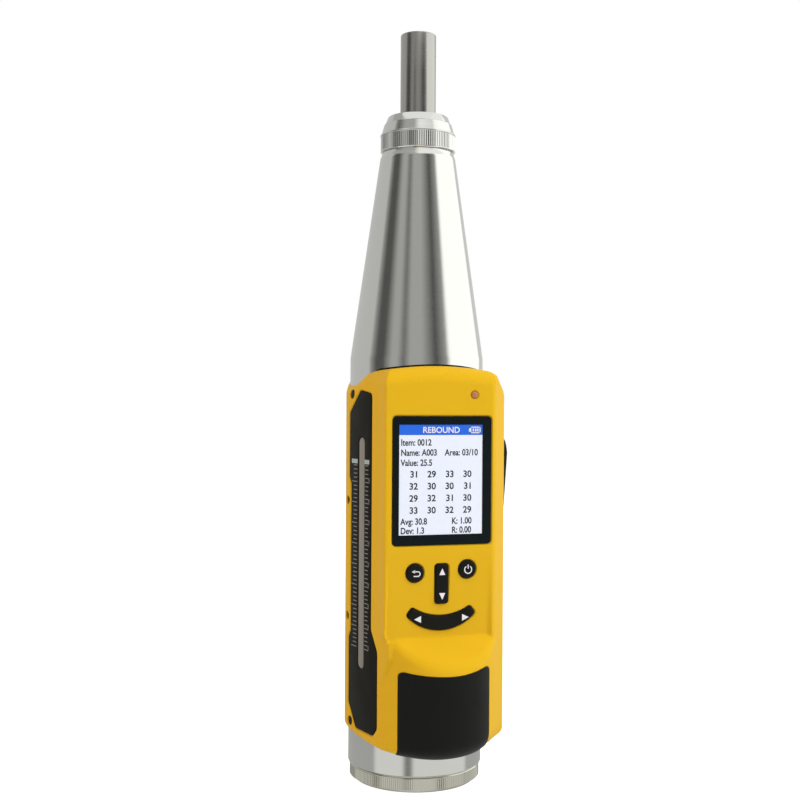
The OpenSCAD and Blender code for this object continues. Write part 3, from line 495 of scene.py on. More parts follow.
def cover_form(s, x, y, z):
    """Distance to the outside of the whole cover."""
    f, half, front = -y, s.cover_half / MM, s.front / MM
    low, high = COVER_LOW[2], COVER_HIGH[2]
    # Flat front with the tray in it, whose lower left corner is round
    wall = -20.2 - np.sqrt(9 - np.clip(s.bulge_height / MM + 1.5 - z, 0, 3) ** 2)
    tray = tray_depth(s, z) * ease((x - wall) / 0.7) * ease((21.8 - x) / 2.4)
    fade = np.maximum(0, s.bulge_height / MM - 8 - z) * np.interp(x, [-10, 10], [0.4, 0.0])
    ahead = f - (front - tray - fade)
    # Arched upper edge, with the rounded crown below it
    arch = z - high + arch_of(s, x)
    ahead = both(ahead, arch, s.crown / MM)
    # Round rear half, bevel on the button side, and the bulge
    sides = np.where(f < 0, np.hypot(x, f) - half + 0.3 * ease(-f / 6), np.abs(x) - half)
    bevel = both((x - half) * 0.738 + (f - front + 8.7) * 0.675, x - half, 1.2)
    form = either(both(bevel, ahead, 0.9), bulge_form(s, x, f, z), 0.35)
    # Facet of the scale side, up to the rail beside the front
    facet = -math.cos(FACET) * (x - FACET_X) + math.sin(FACET) * (f + FACET_Y)
    facet = either(facet, -23.9 - x + np.maximum(0, 66 - z) * 0.4, 0.6)
    form = np.maximum(both(form, both(facet, arch, 6.0), 0.8), both(sides, arch, 1.2))
    # Corners cut off aslant above and below, and the arched lower edge
    steep = np.where(x < 0, ease((f - 4) / 12), 0.3)
    form = both(form, (np.abs(x) - half) * (0.707 + 0.203 * steep) + (z - high + 10.1) * (0.707 - 0.291 * steep), 2.0)
    form = both(form, (np.abs(x) - half + low + 5.2 - z) / math.sqrt(2), 1.5)
    return both(form, low + arch_of(s, x) - z, foot_round(s, x, f))


# Distance of the cover's middle line from the axis towards the front, and the heights of its ends
AXIS_F, SKIN_LOW, SKIN_HIGH = 9.0, 42.0, 158.0


def reach(inside, count, far):
    """How far along each ray a test still holds, found by halving."""
    near, far = np.zeros(count), np.full(count, far)
    for _ in range(40):
        mid = (near + far) / 2
        held = inside(mid)
        near, far = np.where(held, mid, near), np.where(held, far, mid)
    return (near + far) / 2


def cast(distance, turn, step):
    """Points where rays from the cover's middle line leave a form. step runs from 0 at the foot to 3 at the top."""
    lift = np.where(step < 1, step - 1, np.where(step > 2, step - 2, 0)) * math.pi / 2
    start = np.interp(step, [1, 2], [SKIN_LOW, SKIN_HIGH])
    dx, df, dz = np.sin(turn) * np.cos(lift), np.cos(turn) * np.cos(lift), np.sin(lift)

    def at(m):
        return m * dx, -(AXIS_F + m * df), start + m * dz

    return np.stack(at(reach(lambda m: distance(*at(m)) < 0, len(turn), 140.0)), -1)


def even(lines, values, count, corner):
    """Values spread so that points stand evenly along lines, and closer where these turn."""
    weight = np.zeros(len(values) - 1)
    for line in lines:
        run = np.diff(line, axis=0)
        size = np.linalg.norm(run, axis=1)
        unit = run / np.maximum(size, 1e-9)[:, None]
        bend = np.zeros(len(size))
        bend[1:] = np.arccos(np.clip((unit[1:] * unit[:-1]).sum(1), -1, 1))
        weight += size + corner * bend
    total = np.concatenate(([0], np.cumsum(weight)))
    return np.interp(np.linspace(0, total[-1], count), total, values)


def skin(distance, columns, rows):
    """Points and faces of a form sampled all round."""
    fine = 2401
    turns = np.linspace(-math.pi, math.pi, fine)
    steps = np.concatenate((np.linspace(0.02, 1, 500, endpoint=False), np.linspace(1, 2, 1200, endpoint=False),
                            np.linspace(2, 2.98, 500)))
    round_lines = [cast(distance, turns, np.full(fine, 1 + (z - SKIN_LOW) / (SKIN_HIGH - SKIN_LOW)))
                   for z in (48.0, 68.0, 110.0, 140.0)]
    up_lines = [cast(distance, np.full(len(steps), t), steps) for t in (-0.55, 0.0, 0.5, 1.3)]
    turns = even(round_lines, turns, columns + 1, 3.0)[:-1]
    steps = even(up_lines, steps, rows, 3.0)
    grid = cast(distance, np.tile(turns, rows), np.repeat(steps, columns))
    ends = cast(distance, np.zeros(2), np.array([0.0, 3.0]))
    faces = quads(rows, columns)
    last = rows * columns
    faces += [(last, (i + 1) % columns, i) for i in range(columns)]
    faces += [(last + 1, last - columns + i, last - columns + (i + 1) % columns) for i in range(columns)]
    return np.concatenate((grid, ends)), faces


def box_of(name, low, high, turn=Matrix.Identity(3)):
    """A plain block to cut with, which may be turned."""
    corners = [turn @ Vector([(low, high)[k >> j & 1][j] for j in range(3)]) for k in range(8)]
    return make(name, corners, [(0, 2, 3, 1), (4, 5, 7, 6), (0, 1, 5, 4), (2, 6, 7, 3), (0, 4, 6, 2), (1, 3, 7, 5)])


def rod(name, radius, start, end, steps=40):
    """A round bar between two points, to cut with."""
    start, end = Vector(start), Vector(end)
    turn = (end - start).to_track_quat("Z", "Y").to_matrix()
    ring = [turn @ Vector((*p, 0)) for p in disc((0, 0), radius, steps)]
    return make(name, *loft([[start + p for p in ring], [end + p for p in ring]]))


# Places of the keys on the front, across and up
BACK_KEY, POWER_KEY, ROCKER = (-11.2, 90.2), (10.7, 91.1), (0.0, 85.6)
# Side, depth and height of each screw, and radius of its hole
SCREWS = [(side, -f, z) for side in (-1, 1) for f, z in ((4.6, 160.8), (1.1, 116.9), (0.9, 68.9), (4.2, 25.9))]
SCREW_HOLE = 1.25
# Radius of the round keys, and how far the indicator light's lens stands to the left of its socket
KEY_R, LENS_SHIFT = 3.6, 0.4


def beside(name, radius, screw, near, far, steps=40):
    """A round bar in line with a screw, between two distances from the body's middle."""
    side, y, z = screw
    return rod(name, radius, (side * near, y, z), (side * far, y, z), steps)


def arc_outline():
    """Outline of the curved left and right key: two arcs, joined by ends with round corners."""
    outer_r, inner_r, low, thick, half = 19.5, 22.0, 67.2, 5.6, 14.4
    end, tip = math.asin(half / outer_r), math.asin((half - 2.3) / inner_r)
    lower = [(outer_r * math.sin(t), low + outer_r - outer_r * math.cos(t)) for t in np.linspace(-end, end, 17)]
    upper = [(inner_r * math.sin(t), low + thick + inner_r - inner_r * math.cos(t)) for t in np.linspace(tip, -tip, 17)]
    return rounded(lower + upper, [1.1] + [12] * 15 + [1.1, 1.1] + [12] * 15 + [1.1], 4)


def rocker_outline():
    w, h = 2.7, 7.8
    x, z = ROCKER
    return rounded(rectangle(x - w, z - h, x + w, z + h), 1.1)


def glass_outline():
    return rounded(rectangle(GLASS_LOW[0], GLASS_LOW[2], GLASS_HIGH[0], GLASS_HIGH[2]), 1.5)


def panel_outline():
    """Outline of the scale panel along the scale side."""
    back, front, waist, low_front = along(2.7), along(20.8), along(4.2), along(26.0)
    points = [(back + 9.0, 162.3), (front, 160.8), (front, 65.9), (low_front, 57.8), (low_front, 27.5),
              (low_front - 3.6, 23.9), (back + 6.4, 23.9), (back, 33.5), (back, 60.6), (waist, 63.2), (waist, 124.0),
              (back, 126.6), (back, 153.25)]
    return rounded(points, [1.2, 1.8, 4, 4, 2.2, 2.2, 2.2, 3, 0.8, 0.8, 0.8, 0.8, 1.5])


def slot_outline(grow):
    return stadium(along(12.8), 51.4, 140.7, 2.5 + grow)


def lock_outline(grow):
    return stadium(18.0, 115.0, 137.0, 6.0 + grow)


def pad_sheet(s, grow, top, under, soft):
    """Points and faces of a sheet over the bulge, between two heights above it, its border rounded by soft."""
    half, corner, centre_f, centre_z = s.pad_width / MM / 2 + grow, 1.8, 24.0, 40.0
    mid, r = s.bulge / MM - s.bulge_radius / MM, s.bulge_radius / MM
    off = s.cover_half / MM - r

    def lean(x, z):
        """Angle at which the ray from the middle line reaches a height on the bulge."""
        f = mid + np.sqrt(np.maximum(r * r - (x - off) ** 2, 1.0))
        return np.arctan2(z - centre_z, f - centre_f)

    def high(x):
        return s.pad_top / MM + grow + (x / half) ** 2 * (3.3 if x > 0 else 1.7)

    def bend(side, start):
        """The rounded corner on one side, from its upper end or from its outer one."""
        turns = np.linspace(start, math.pi / 2 - start, 9)[1:]
        places = [(side * (half - corner + corner * math.sin(t)),
                   high(side * (half - corner)) - corner + corner * math.cos(t)) for t in turns]
        return [(x, lean(x, z)) for x, z in places]

    last = math.atan2(COVER_LOW[2] - 1.0 - centre_z, 28.0 - grow - centre_f)
    line = [(x, lean(x, high(x))) for x in np.linspace(corner - half, half - corner, 41)] + bend(1, 0.0)
    line += [(half, t) for t in np.linspace(line[-1][1], last, 64)[1:]]
    line += [(x, last) for x in np.linspace(half, -half, 41)[1:]]
    line += [(-half, t) for t in np.linspace(last, lean(-half, high(corner - half) - corner), 64)[1:]]
    line += bend(-1, math.pi / 2)[:-1]
    outline = np.array(line)
    middle = np.array((0.0, (lean(0.0, high(0.0)) + last) / 2))
    shares = np.concatenate((np.linspace(0.04, 0.9, 20), 1 - np.geomspace(0.08, 0.002, 14), [1.0]))

    def shell(points, height):
        across, turn = points.T

        def at(m):
            return across, centre_f + m * np.cos(turn), centre_z + m * np.sin(turn)

        x, f, z = at(reach(lambda m: grip_form(s, *at(m)) < height, len(across), 60.0))
        return np.stack((x, -f, z), -1)

    edge = shell(outline, top)
    outer, inner = [], []
    for share in shares:
        ring = middle + share * (outline - middle)
        flat = shell(ring, np.full(len(ring), top))
        gap = np.linalg.norm(flat - edge, axis=1)
        sink = soft - np.sqrt(np.maximum(soft * soft - np.maximum(soft - gap, 0) ** 2, 0)) if soft else 0 * gap
        outer.append(shell(ring, top - sink))
        inner.append(shell(ring, np.full(len(ring), under)))
    return loft(inner + outer[::-1])


def lines_of(text, size, heavy):
    """Flat mesh of a line of writing, as points across and up in millimetres and faces, its left end at zero. heavy is
    how far the strokes are thickened."""
    curve = bpy.data.curves.new("writing", "FONT")
    curve.body, curve.size, curve.fill_mode, curve.offset = text, size, "FRONT", heavy
    holder = put("writing", curve)
    bpy.context.view_layer.update()
    mesh = holder.evaluated_get(bpy.context.evaluated_depsgraph_get()).to_mesh()
    points = np.array([v.co[:2] for v in mesh.vertices]).reshape(-1, 2)
    faces = [tuple(p.vertices) for p in mesh.polygons]
    bpy.data.objects.remove(holder)
    bpy.data.curves.remove(curve)
    return points, faces


class Marks:
    """Gathers flat marks for one surface and makes one thin mesh of them."""

    def __init__(self, place):
        self.place, self.points, self.faces, self.picks, self.names = place, [], [], [], []

    def add(self, points, faces, finish_name, height):
        if finish_name not in self.names:
            self.names.append(finish_name)
        base = sum(map(len, self.points))
        points = np.asarray(points, float)
        self.points.append(self.place(points[:, 0], points[:, 1], np.full(len(points), float(height))))
        self.faces += [tuple(base + i for i in f) for f in faces]
        self.picks += [self.names.index(finish_name)] * len(faces)

    def shape(self, outline, finish_name, height):
        self.add(outline, [tuple(range(len(outline)))], finish_name, height)

    def bar(self, x0, z0, x1, z1, finish_name, height):
        self.shape(rectangle(x0, z0, x1, z1), finish_name, height)

    def write(self, text, x, z, size, finish_name, height, align=0.0, wide=1.0, heavy=0.0):
        points, faces = lines_of(text, size, heavy)
        width = points[:, 0].max() if len(points) else 0
        self.add(points * (wide, 1) + (x - align * width * wide, z), faces, finish_name, height)

    def build(self, name):
        """A thin closed mesh: the marks are raised by the thickness of the print, so they have a body."""
        points = np.concatenate(self.points)
        obj = make(name, points, self.faces, *self.names, picks=self.picks, merge=False)
        shape = bmesh.new()
        shape.from_mesh(obj.data)
        out = Vector(self.place(np.zeros(1), np.zeros(1), np.ones(1))[0]
                     - self.place(np.zeros(1), np.zeros(1), np.zeros(1))[0])
        for face in shape.faces:
            face.normal_update()
            if face.normal.dot(out) < 0:
                face.normal_flip()
        shape.to_mesh(obj.data)
        shape.free()
        solid = obj.modifiers.new("body", "SOLIDIFY")
        solid.thickness, solid.offset = 0.012 * MM, 1.0
        settle(obj)
        obj.data.shade_flat()
        return obj


def new_tree(name, **inputs):
    """A geometry tree with named inputs, their kinds given as socket types."""
    tree = bpy.data.node_groups.new(name, "GeometryNodeTree")
    tree.interface.new_socket("Geometry", in_out="INPUT", socket_type="NodeSocketGeometry")
    for key, kind in inputs.items():
        tree.interface.new_socket(key, in_out="INPUT", socket_type="NodeSocket" + kind)
    tree.interface.new_socket("Geometry", in_out="OUTPUT", socket_type="NodeSocketGeometry")
    return tree, node(tree, "NodeGroupInput").outputs


def close_tree(tree, geometry, material):
    """Ends a tree with real geometry in its finish."""
    real = socket(tree, "GeometryNodeRealizeInstances", {"Geometry": geometry})
    done = socket(tree, "GeometryNodeSetMaterial", {"Geometry": real, "Material": material})
    node(tree, "NodeGroupOutput", {"Geometry": done})
    return tree


def grow(name, tree, points=((0, 0, 0),), outward=None, **values):
    """Runs a geometry tree on some points in millimetres, and keeps the result as a plain mesh."""
    mesh = bpy.data.meshes.new(name)
    mesh.from_pydata((np.asarray(points, float) * MM).tolist(), [], [])
    if outward is not None:
        mesh.attributes.new("outward", "FLOAT_VECTOR", "POINT").data.foreach_set("vector", np.ravel(outward))
    obj = put(name, mesh)
    nodes = obj.modifiers.new("grow", "NODES")
    nodes.node_group = tree
    sockets = {i.name: i.identifier for i in tree.interface.items_tree if i.in_out == "INPUT"}
    for key, value in values.items():
        nodes[sockets[key]] = value
    settle(obj)
    if not obj.data.polygons:
        raise RuntimeError(f"{name} came out empty")
    smooth(obj.data, SHARP)
    return obj


def vector(tree, **parts):
    return socket(tree, "ShaderNodeCombineXYZ", parts)


def moved(tree, geometry, **how):
    return socket(tree, "GeometryNodeTransform", {"Geometry": geometry, **how})


def rib_tree():
    """Ribs standing round a ring."""
    tree, given = new_tree("knurl", Ribs="Int", Radius="Float", Rib_Radius="Float", Height="Float", Base="Float",
                           Finish="Material")
    ring = socket(tree, "GeometryNodeMeshCircle", {"Vertices": given["Ribs"], "Radius": given["Radius"]})
    bar = socket(tree, "GeometryNodeMeshCylinder", {
        "Vertices": 6, "Radius": given["Rib_Radius"], "Depth": given["Height"]})
    spot = socket(tree, "GeometryNodeInputPosition")
    facing = socket(tree, "FunctionNodeAlignRotationToVector", {"Vector": spot}, axis="X")
    ribs = socket(tree, "GeometryNodeInstanceOnPoints", {"Points": ring, "Instance": bar, "Rotation": facing})
    return close_tree(tree, moved(tree, ribs, Translation=vector(tree, Z=given["Base"])), given["Finish"])


def tick_tree():
    """A row of marks up the scale, every one of them the same bar, turned onto the scale side."""
    tree, given = new_tree("scale_marks", Marks="Int", Pitch="Float", Length="Float", Width="Float", Depth="Float",
                           Turn="Float", Start="Vector", Finish="Material")
    line = socket(tree, "GeometryNodeMeshLine", {"Count": given["Marks"], "Offset": vector(tree, Z=given["Pitch"])})
    size = vector(tree, X=given["Length"], Y=given["Depth"], Z=given["Width"])
    bar = socket(tree, "GeometryNodeMeshCube", {"Size": size})
    marks = socket(tree, "GeometryNodeInstanceOnPoints", {"Points": line, "Instance": bar})
    placed = moved(tree, marks, Translation=given["Start"], Rotation=vector(tree, Z=given["Turn"]))
    return close_tree(tree, placed, given["Finish"])


def screw_tree():
    """Cross slotted screws, one on each point, facing outwards."""
    tree, given = new_tree("cross_screws", Head_Radius="Float", Head_Height="Float", Slot_Width="Float",
                           Slot_Length="Float", Finish="Material")
    high = given["Head_Height"]
    head = socket(tree, "GeometryNodeMeshCylinder", {"Vertices": 28, "Radius": given["Head_Radius"], "Depth": high})
    cuts = [socket(tree, "GeometryNodeMeshCube", {"Size": vector(tree, X=given[a], Y=given[b], Z=high)})
            for a, b in (("Slot_Length", "Slot_Width"), ("Slot_Width", "Slot_Length"))]
    half = socket(tree, "ShaderNodeMath", {0: high, 1: 0.5}, operation="MULTIPLY")
    crossed = node(tree, "GeometryNodeMeshBoolean", {"Mesh 2": cuts[0]}, operation="UNION")
    tree.links.new(cuts[1], crossed.inputs["Mesh 2"])
    raised = moved(tree, crossed.outputs[0], Translation=vector(tree, Z=half))
    slotted = socket(tree, "GeometryNodeMeshBoolean", {"Mesh 1": head, "Mesh 2": raised}, operation="DIFFERENCE")
    outward = socket(tree, "GeometryNodeInputNamedAttribute", {"Name": "outward"}, data_type="FLOAT_VECTOR")
    facing = socket(tree, "FunctionNodeAlignRotationToVector", {"Vector": outward}, axis="Z")
    heads = socket(tree, "GeometryNodeInstanceOnPoints", {
        "Points": given["Geometry"], "Instance": slotted, "Rotation": facing})
    return close_tree(tree, heads, given["Finish"])


def coil_tree():
    """A spring of round wire, wound up an axis and turned to it."""
    tree, given = new_tree("wound_spring", Turns="Float", Radius="Float", Wire="Float", Height="Float",
                           Start="Vector", Lean="Vector", Finish="Material")
    line = socket(tree, "GeometryNodeCurveSpiral", {
        "Resolution": 40, "Rotations": given["Turns"], "Start Radius": given["Radius"],
        "End Radius": given["Radius"], "Height": given["Height"]})
    section = socket(tree, "GeometryNodeCurvePrimitiveCircle", {"Resolution": 12, "Radius": given["Wire"]})
    wire = socket(tree, "GeometryNodeCurveToMesh", {"Curve": line, "Profile Curve": section, "Fill Caps": True})
    placed = moved(tree, wire, Translation=given["Start"], Rotation=given["Lean"])
    return close_tree(tree, placed, given["Finish"])


class HAMMER_OT_stage(bpy.types.Operator):
    """Sets up the camera, the pale floor, the lamps and the cards that the metal reflects"""
    bl_idname = "hammer.stage"
    bl_label = "Stage"

    def execute(self, context):
        scene = context.scene
        scene.view_settings.view_transform = "Standard"
        cam = put("camera", bpy.data.cameras.new("camera"))
        sensor, focal, picture = 36.0, 1226, 800  # millimetres, then pixels
        distance, shift, height, roll = 0.520, 0.0069, 0.1585, math.radians(0.35)  # metres, then the camera's tilt
        cam.data.sensor_width, cam.data.lens = sensor, sensor * focal / picture
        cam.data.clip_start, cam.data.clip_end = 0.01, 50
        away = Vector((-math.sin(CAMERA_TURN), -math.cos(CAMERA_TURN), 0))
        right = Vector((math.cos(CAMERA_TURN), -math.sin(CAMERA_TURN), 0))
        upright = Matrix((right, (0, 0, 1), away)).transposed()
        cam.matrix_world = (Matrix.Translation(away * distance - right * shift + Vector((0, 0, height)))
                            @ upright.to_4x4() @ Matrix.Rotation(roll, 4, "Z"))
        scene.camera = cam
        self.background(scene)
        self.floor()
        for name, place, size, power, hue in (("key_lamp", (1.0, -0.85, 1.0), 0.9, 14.5, "#FFFFFF"),
                                              ("fill_lamp", (-1.5, -0.1, 0.75), 0.9, 5.5, "#FFCC96"),
                                              ("top_lamp", (-0.35, -0.45, 1.7), 0.8, 6.0, "#FFFFFF"),
                                              ("back_lamp", (0.5, 1.2, 1.2), 1.0, 7.0, "#FFFFFF")):
            lamp = bpy.data.lights.new(name, "AREA")
            lamp.size, lamp.energy, lamp.color = size, power, linear(hue)
            obj = put(name, lamp)
            obj.location = place
            obj.rotation_euler = (Vector((0, 0, 0.15)) - Vector(place)).to_track_quat("-Z", "Y").to_euler()
            obj.visible_glossy = False
        self.cards()
        return {"FINISHED"}

    def background(self, scene):
        world = bpy.data.worlds.new("studio")
        scene.world = world
        world.use_nodes = True
        tree = world.node_tree
        tree.nodes.clear()
        rays = node(tree, "ShaderNodeLightPath").outputs
        seen = rays["Is Camera Ray"]
        for kind in ("Is Glossy Ray", "Is Transmission Ray"):
            seen = socket(tree, "ShaderNodeMath", {0: seen, 1: rays[kind]}, operation="ADD", use_clamp=True)
        soft, white = (socket(tree, "ShaderNodeBackground", {"Color": (1, 1, 1, 1), "Strength": level})
                       for level in (0.4, 1.0))
        mixed = socket(tree, "ShaderNodeMixShader", {0: seen, 1: soft, 2: white})
        node(tree, "ShaderNodeOutputWorld", {"Surface": mixed})

    def floor(self):
        mesh = bpy.data.meshes.new("floor")
        mesh.from_pydata([(*p, 0) for p in rectangle(-30, -30, 30, 30)], [], [(0, 1, 2, 3)])
        floor = put("floor", mesh)
        # Studio paper: white to the eye, with the hammer's soft shadow left on it
        mat, tree = blank("studio_paper")
        rays = node(tree, "ShaderNodeLightPath").outputs
        paper = socket(tree, "ShaderNodeBsdfDiffuse", {"Color": (0.8, 0.8, 0.8, 1)})
        lift = socket(tree, "ShaderNodeEmission", {"Color": (1, 1, 1, 1), "Strength": 0.74})
        seen = socket(tree, "ShaderNodeAddShader", {0: paper, 1: lift})
        mixed = socket(tree, "ShaderNodeMixShader", {0: rays["Is Camera Ray"], 1: paper, 2: seen})
        node(tree, "ShaderNodeOutputMaterial", {"Surface": mixed})
        mesh.materials.append(mat)
        floor.visible_glossy = False

    def cards(self):
        """Studio cards round the hammer, seen only in reflections, that band the turned metal. Each has its sides in
        degrees from the camera, its lower and upper edge in metres, its level and the degrees its sides fade over."""
        rig = ((-180, 180, -2.0, 3.0, 0.45, 0),    # grey room
               (-195, -84, -0.2, 1.6, 0.6, 6),     # pale wall on the left
               (-90, -44, -0.1, 1.6, 0.1, 16),     # dark flag left of the camera
               (-34, -12, -0.1, 1.2, 0.2, 10),     # its stand
               (8, 58, -0.1, 1.6, 0.1, 24),        # dark flag right of the camera
               (52, 142, -0.2, 1.6, 1.4, 8),       # soft box on the right
               (138, 195, -0.2, 1.6, 0.7, 6),      # its white frame
               (-15, 190, 1.5, 2.9, 1.1, 20),      # lit half of the ceiling
               (-75, 100, -1.8, -0.1, 0.8, 6),     # lit table
               (-22, 0, -1.8, -0.1, 0.25, 8))      # dark stand below the camera
        columns, radius, gap = 37, 1.6, 0.02
        points, faces, levels, covers = [], [], [], []
        for k, (start, end, low, high, level, fade) in enumerate(rig):
            turn = np.linspace(start, end, columns)
            cover = np.clip(np.minimum(turn - start, end - turn) / fade, 0, 1) if fade else np.ones(columns)
            angle, r, first = np.radians(turn - 90) - CAMERA_TURN, radius - gap * k, len(points)
            points += [(r * math.cos(a), r * math.sin(a), z) for z in (low, high) for a in angle]
            faces += [(i, i + 1, i + columns + 1, i + columns) for i in range(first, first + columns - 1)]
            levels += [level] * 2 * columns
            covers += [*cover, *cover]
        mesh = bpy.data.meshes.new("studio_cards")
        mesh.from_pydata(points, [], faces)
        mat, tree = blank("studio_cards")
        shown = {}
        for name, values in (("level", levels), ("cover", covers)):
            mesh.attributes.new(name, "FLOAT", "POINT").data.foreach_set("value", values)
            shown[name] = node(tree, "ShaderNodeAttribute", attribute_name=name).outputs["Fac"]
        glow = socket(tree, "ShaderNodeEmission", {"Color": (1, 1, 0.985, 1), "Strength": shown["level"]})
        clear = socket(tree, "ShaderNodeBsdfTransparent")
        mixed = socket(tree, "ShaderNodeMixShader", {0: shown["cover"], 1: clear, 2: glow})
        node(tree, "ShaderNodeOutputMaterial", {"Surface": mixed})
        mat.cycles.emission_sampling = "NONE"
        mesh.materials.append(mat)
        card = put("studio_cards", mesh)
        card.visible_camera = card.visible_diffuse = card.visible_shadow = card.visible_transmission = False


class HAMMER_OT_metal_body(bpy.types.Operator):
    """Turns the body, the nose cap, the rear cap with their knurls, and the plunger"""
    bl_idname = "hammer.metal_body"
    bl_label = "Metal body"

    def execute(self, context):
        s = context.scene.hammer_sizes
        mix_finishes(context.scene.hammer_colours)
        self.body()
        ribs = rib_tree()
        self.nose(s, ribs)
        self.rear(s, ribs)
        self.plunger()
        return {"FINISHED"}

    def body(self):
        r, bore = TUBE_HIGH[0], TUBE_HIGH[0] - 3
        z0, cone, top = TUBE_LOW[2], 176.0, NOSE_Z
        slope = [(r - 0.05 + (15.9 - r) * t, cone + 0.25 + (top - 2.85 - cone) * t) for t in (0, 0.01, 0.5, 0.99, 1)]
        outside = [(bore, z0), (r - 0.4, z0), (r, z0 + 0.4), (r, z0 + 0.8), (r, cone - 0.7), (r, cone - 0.25), *slope,
                   (15.6, top - 2.2), (15.05, top - 0.25), (14.7, top), (13.0, top)]
        inside = [(13.0, TUBE_HIGH[2]), (11.05, TUBE_HIGH[2]), (11.05, 238.5), (14.5, 238.5), (21.0, 179.5),
                  (21.0, 166.5), (bore, 166.5)]
        tube = make("body_tube", *lathe(outside + inside), "turned")
        cutters = [box_of("slot", (-40, -2.5, 48.9), (-22, 2.5, 143.2), RIDER_TURN),
                   rod("channel", 1.9, (*RIDER_AT.xy, 12), (*RIDER_AT.xy, 170.55))]
        cutters += [beside("hole", SCREW_HOLE, screw, 20, 40) for screw in SCREWS]
        cutters += [rod("pin_hole", 1.9, (0, -LOCK_BAR_F, 39), (60, -LOCK_BAR_F, 39)),
                    rod("spring_hole", 3.2, (20.4, -LOCK_BAR_F, 126), (60, -LOCK_BAR_F, 126))]
        fit(carve(tube, cutters), "body", "turned_aluminium", "tube_housing")

    def nose(self, s, ribs):
        band, tip, end = NOSE_Z, 270.5, NOSE_TOP
        line = [(13.05, band), (15.5, band), (15.8, band + 0.3), (15.8, band + 0.55), (15.55, band + 0.7),
                (15.55, tip - 0.75), (15.9, tip - 0.55), (15.9, tip - 0.25), (15.65, tip), (15.45, tip + 0.1),
                (15.4, tip + 0.27), (14.4, tip + 3.75), (14.3, tip + 4.1), (13.9, tip + 4.35), (13.8, tip + 4.5),
                (12.75, end - 0.3), (12.4, end), (8.0, end), (7.75, end - 0.25),
                (7.75, 274.95), (10.45, 274.95), (10.45, 271.9), (13.05, 271.9)]
        cap = make("nose_turned", *lathe(line), "turned")
        knurl = grow("nose_knurl", ribs, Ribs=s.nose_ribs, Radius=15.22 * MM, Rib_Radius=0.47 * MM,
                     Height=(tip - band - 1.3) * MM, Base=(band + tip) / 2 * MM, Finish=MATERIALS["turned"])
        fit(join("nose_cap_dressed", cap, knurl), "body", "turned_aluminium", "nose_cap")

    def rear(self, s, ribs):
        line = [(0, 0), (24.9, 0), (25.4, 0.15), (26.6, 1.2), (27.1, 1.5), (27.1, 5.8), (27.45, 6.0), (27.45, 6.25),
                (26.9, 6.97), (25.0, 7.0), (24.95, 7.0), (24.95, 15.6), (24.6, 16.0), (20.0, 16.0), (20.0, 4.0),
                (6.0, 4.0), (6.0, 10.0), (3.05, 10.0), (3.05, 2.0), (0, 2.0)]
        cap = make("rear_turned", *lathe(line), "ring")
        carve(cap, [rod("rod_seat", 1.55, (*RIDER_AT.xy, 11.95), (*RIDER_AT.xy, 30))])
        knurl = grow("rear_knurl", ribs, Ribs=s.cap_ribs, Radius=26.85 * MM, Rib_Radius=0.42 * MM, Height=4.4 * MM,
                     Base=3.7 * MM, Finish=MATERIALS["ring"])
        fit(join("rear_cap_dressed", cap, knurl), "body", "turned_aluminium", "rear_cap")

    def plunger(self):
        z0, top, r, shank = PLUNGER_LOW[2], PLUNGER_HIGH[2], PLUNGER_HIGH[0], 7.25
        ball = 25.0
        edge = top - (ball - math.sqrt(ball * ball - (r - 0.5) ** 2))
        dome = [(x, top - ball + math.sqrt(ball * ball - x * x)) for x in np.linspace(r - 0.5, 0, 9)]
        line = [(4.05, z0), (shank - 0.3, z0), (shank, z0 + 0.3), (shank, 278.9), (r - 0.1, 279.0), (r, 279.15),
                (r, edge - 0.55), (r - 0.15, edge - 0.18), *dome, (0, z0 + 36), (4.05, z0 + 36)]
        fit(make("plunger_ground", *lathe(line, 128), "ground"), "plunger_set", "plunger_steel", "plunger")


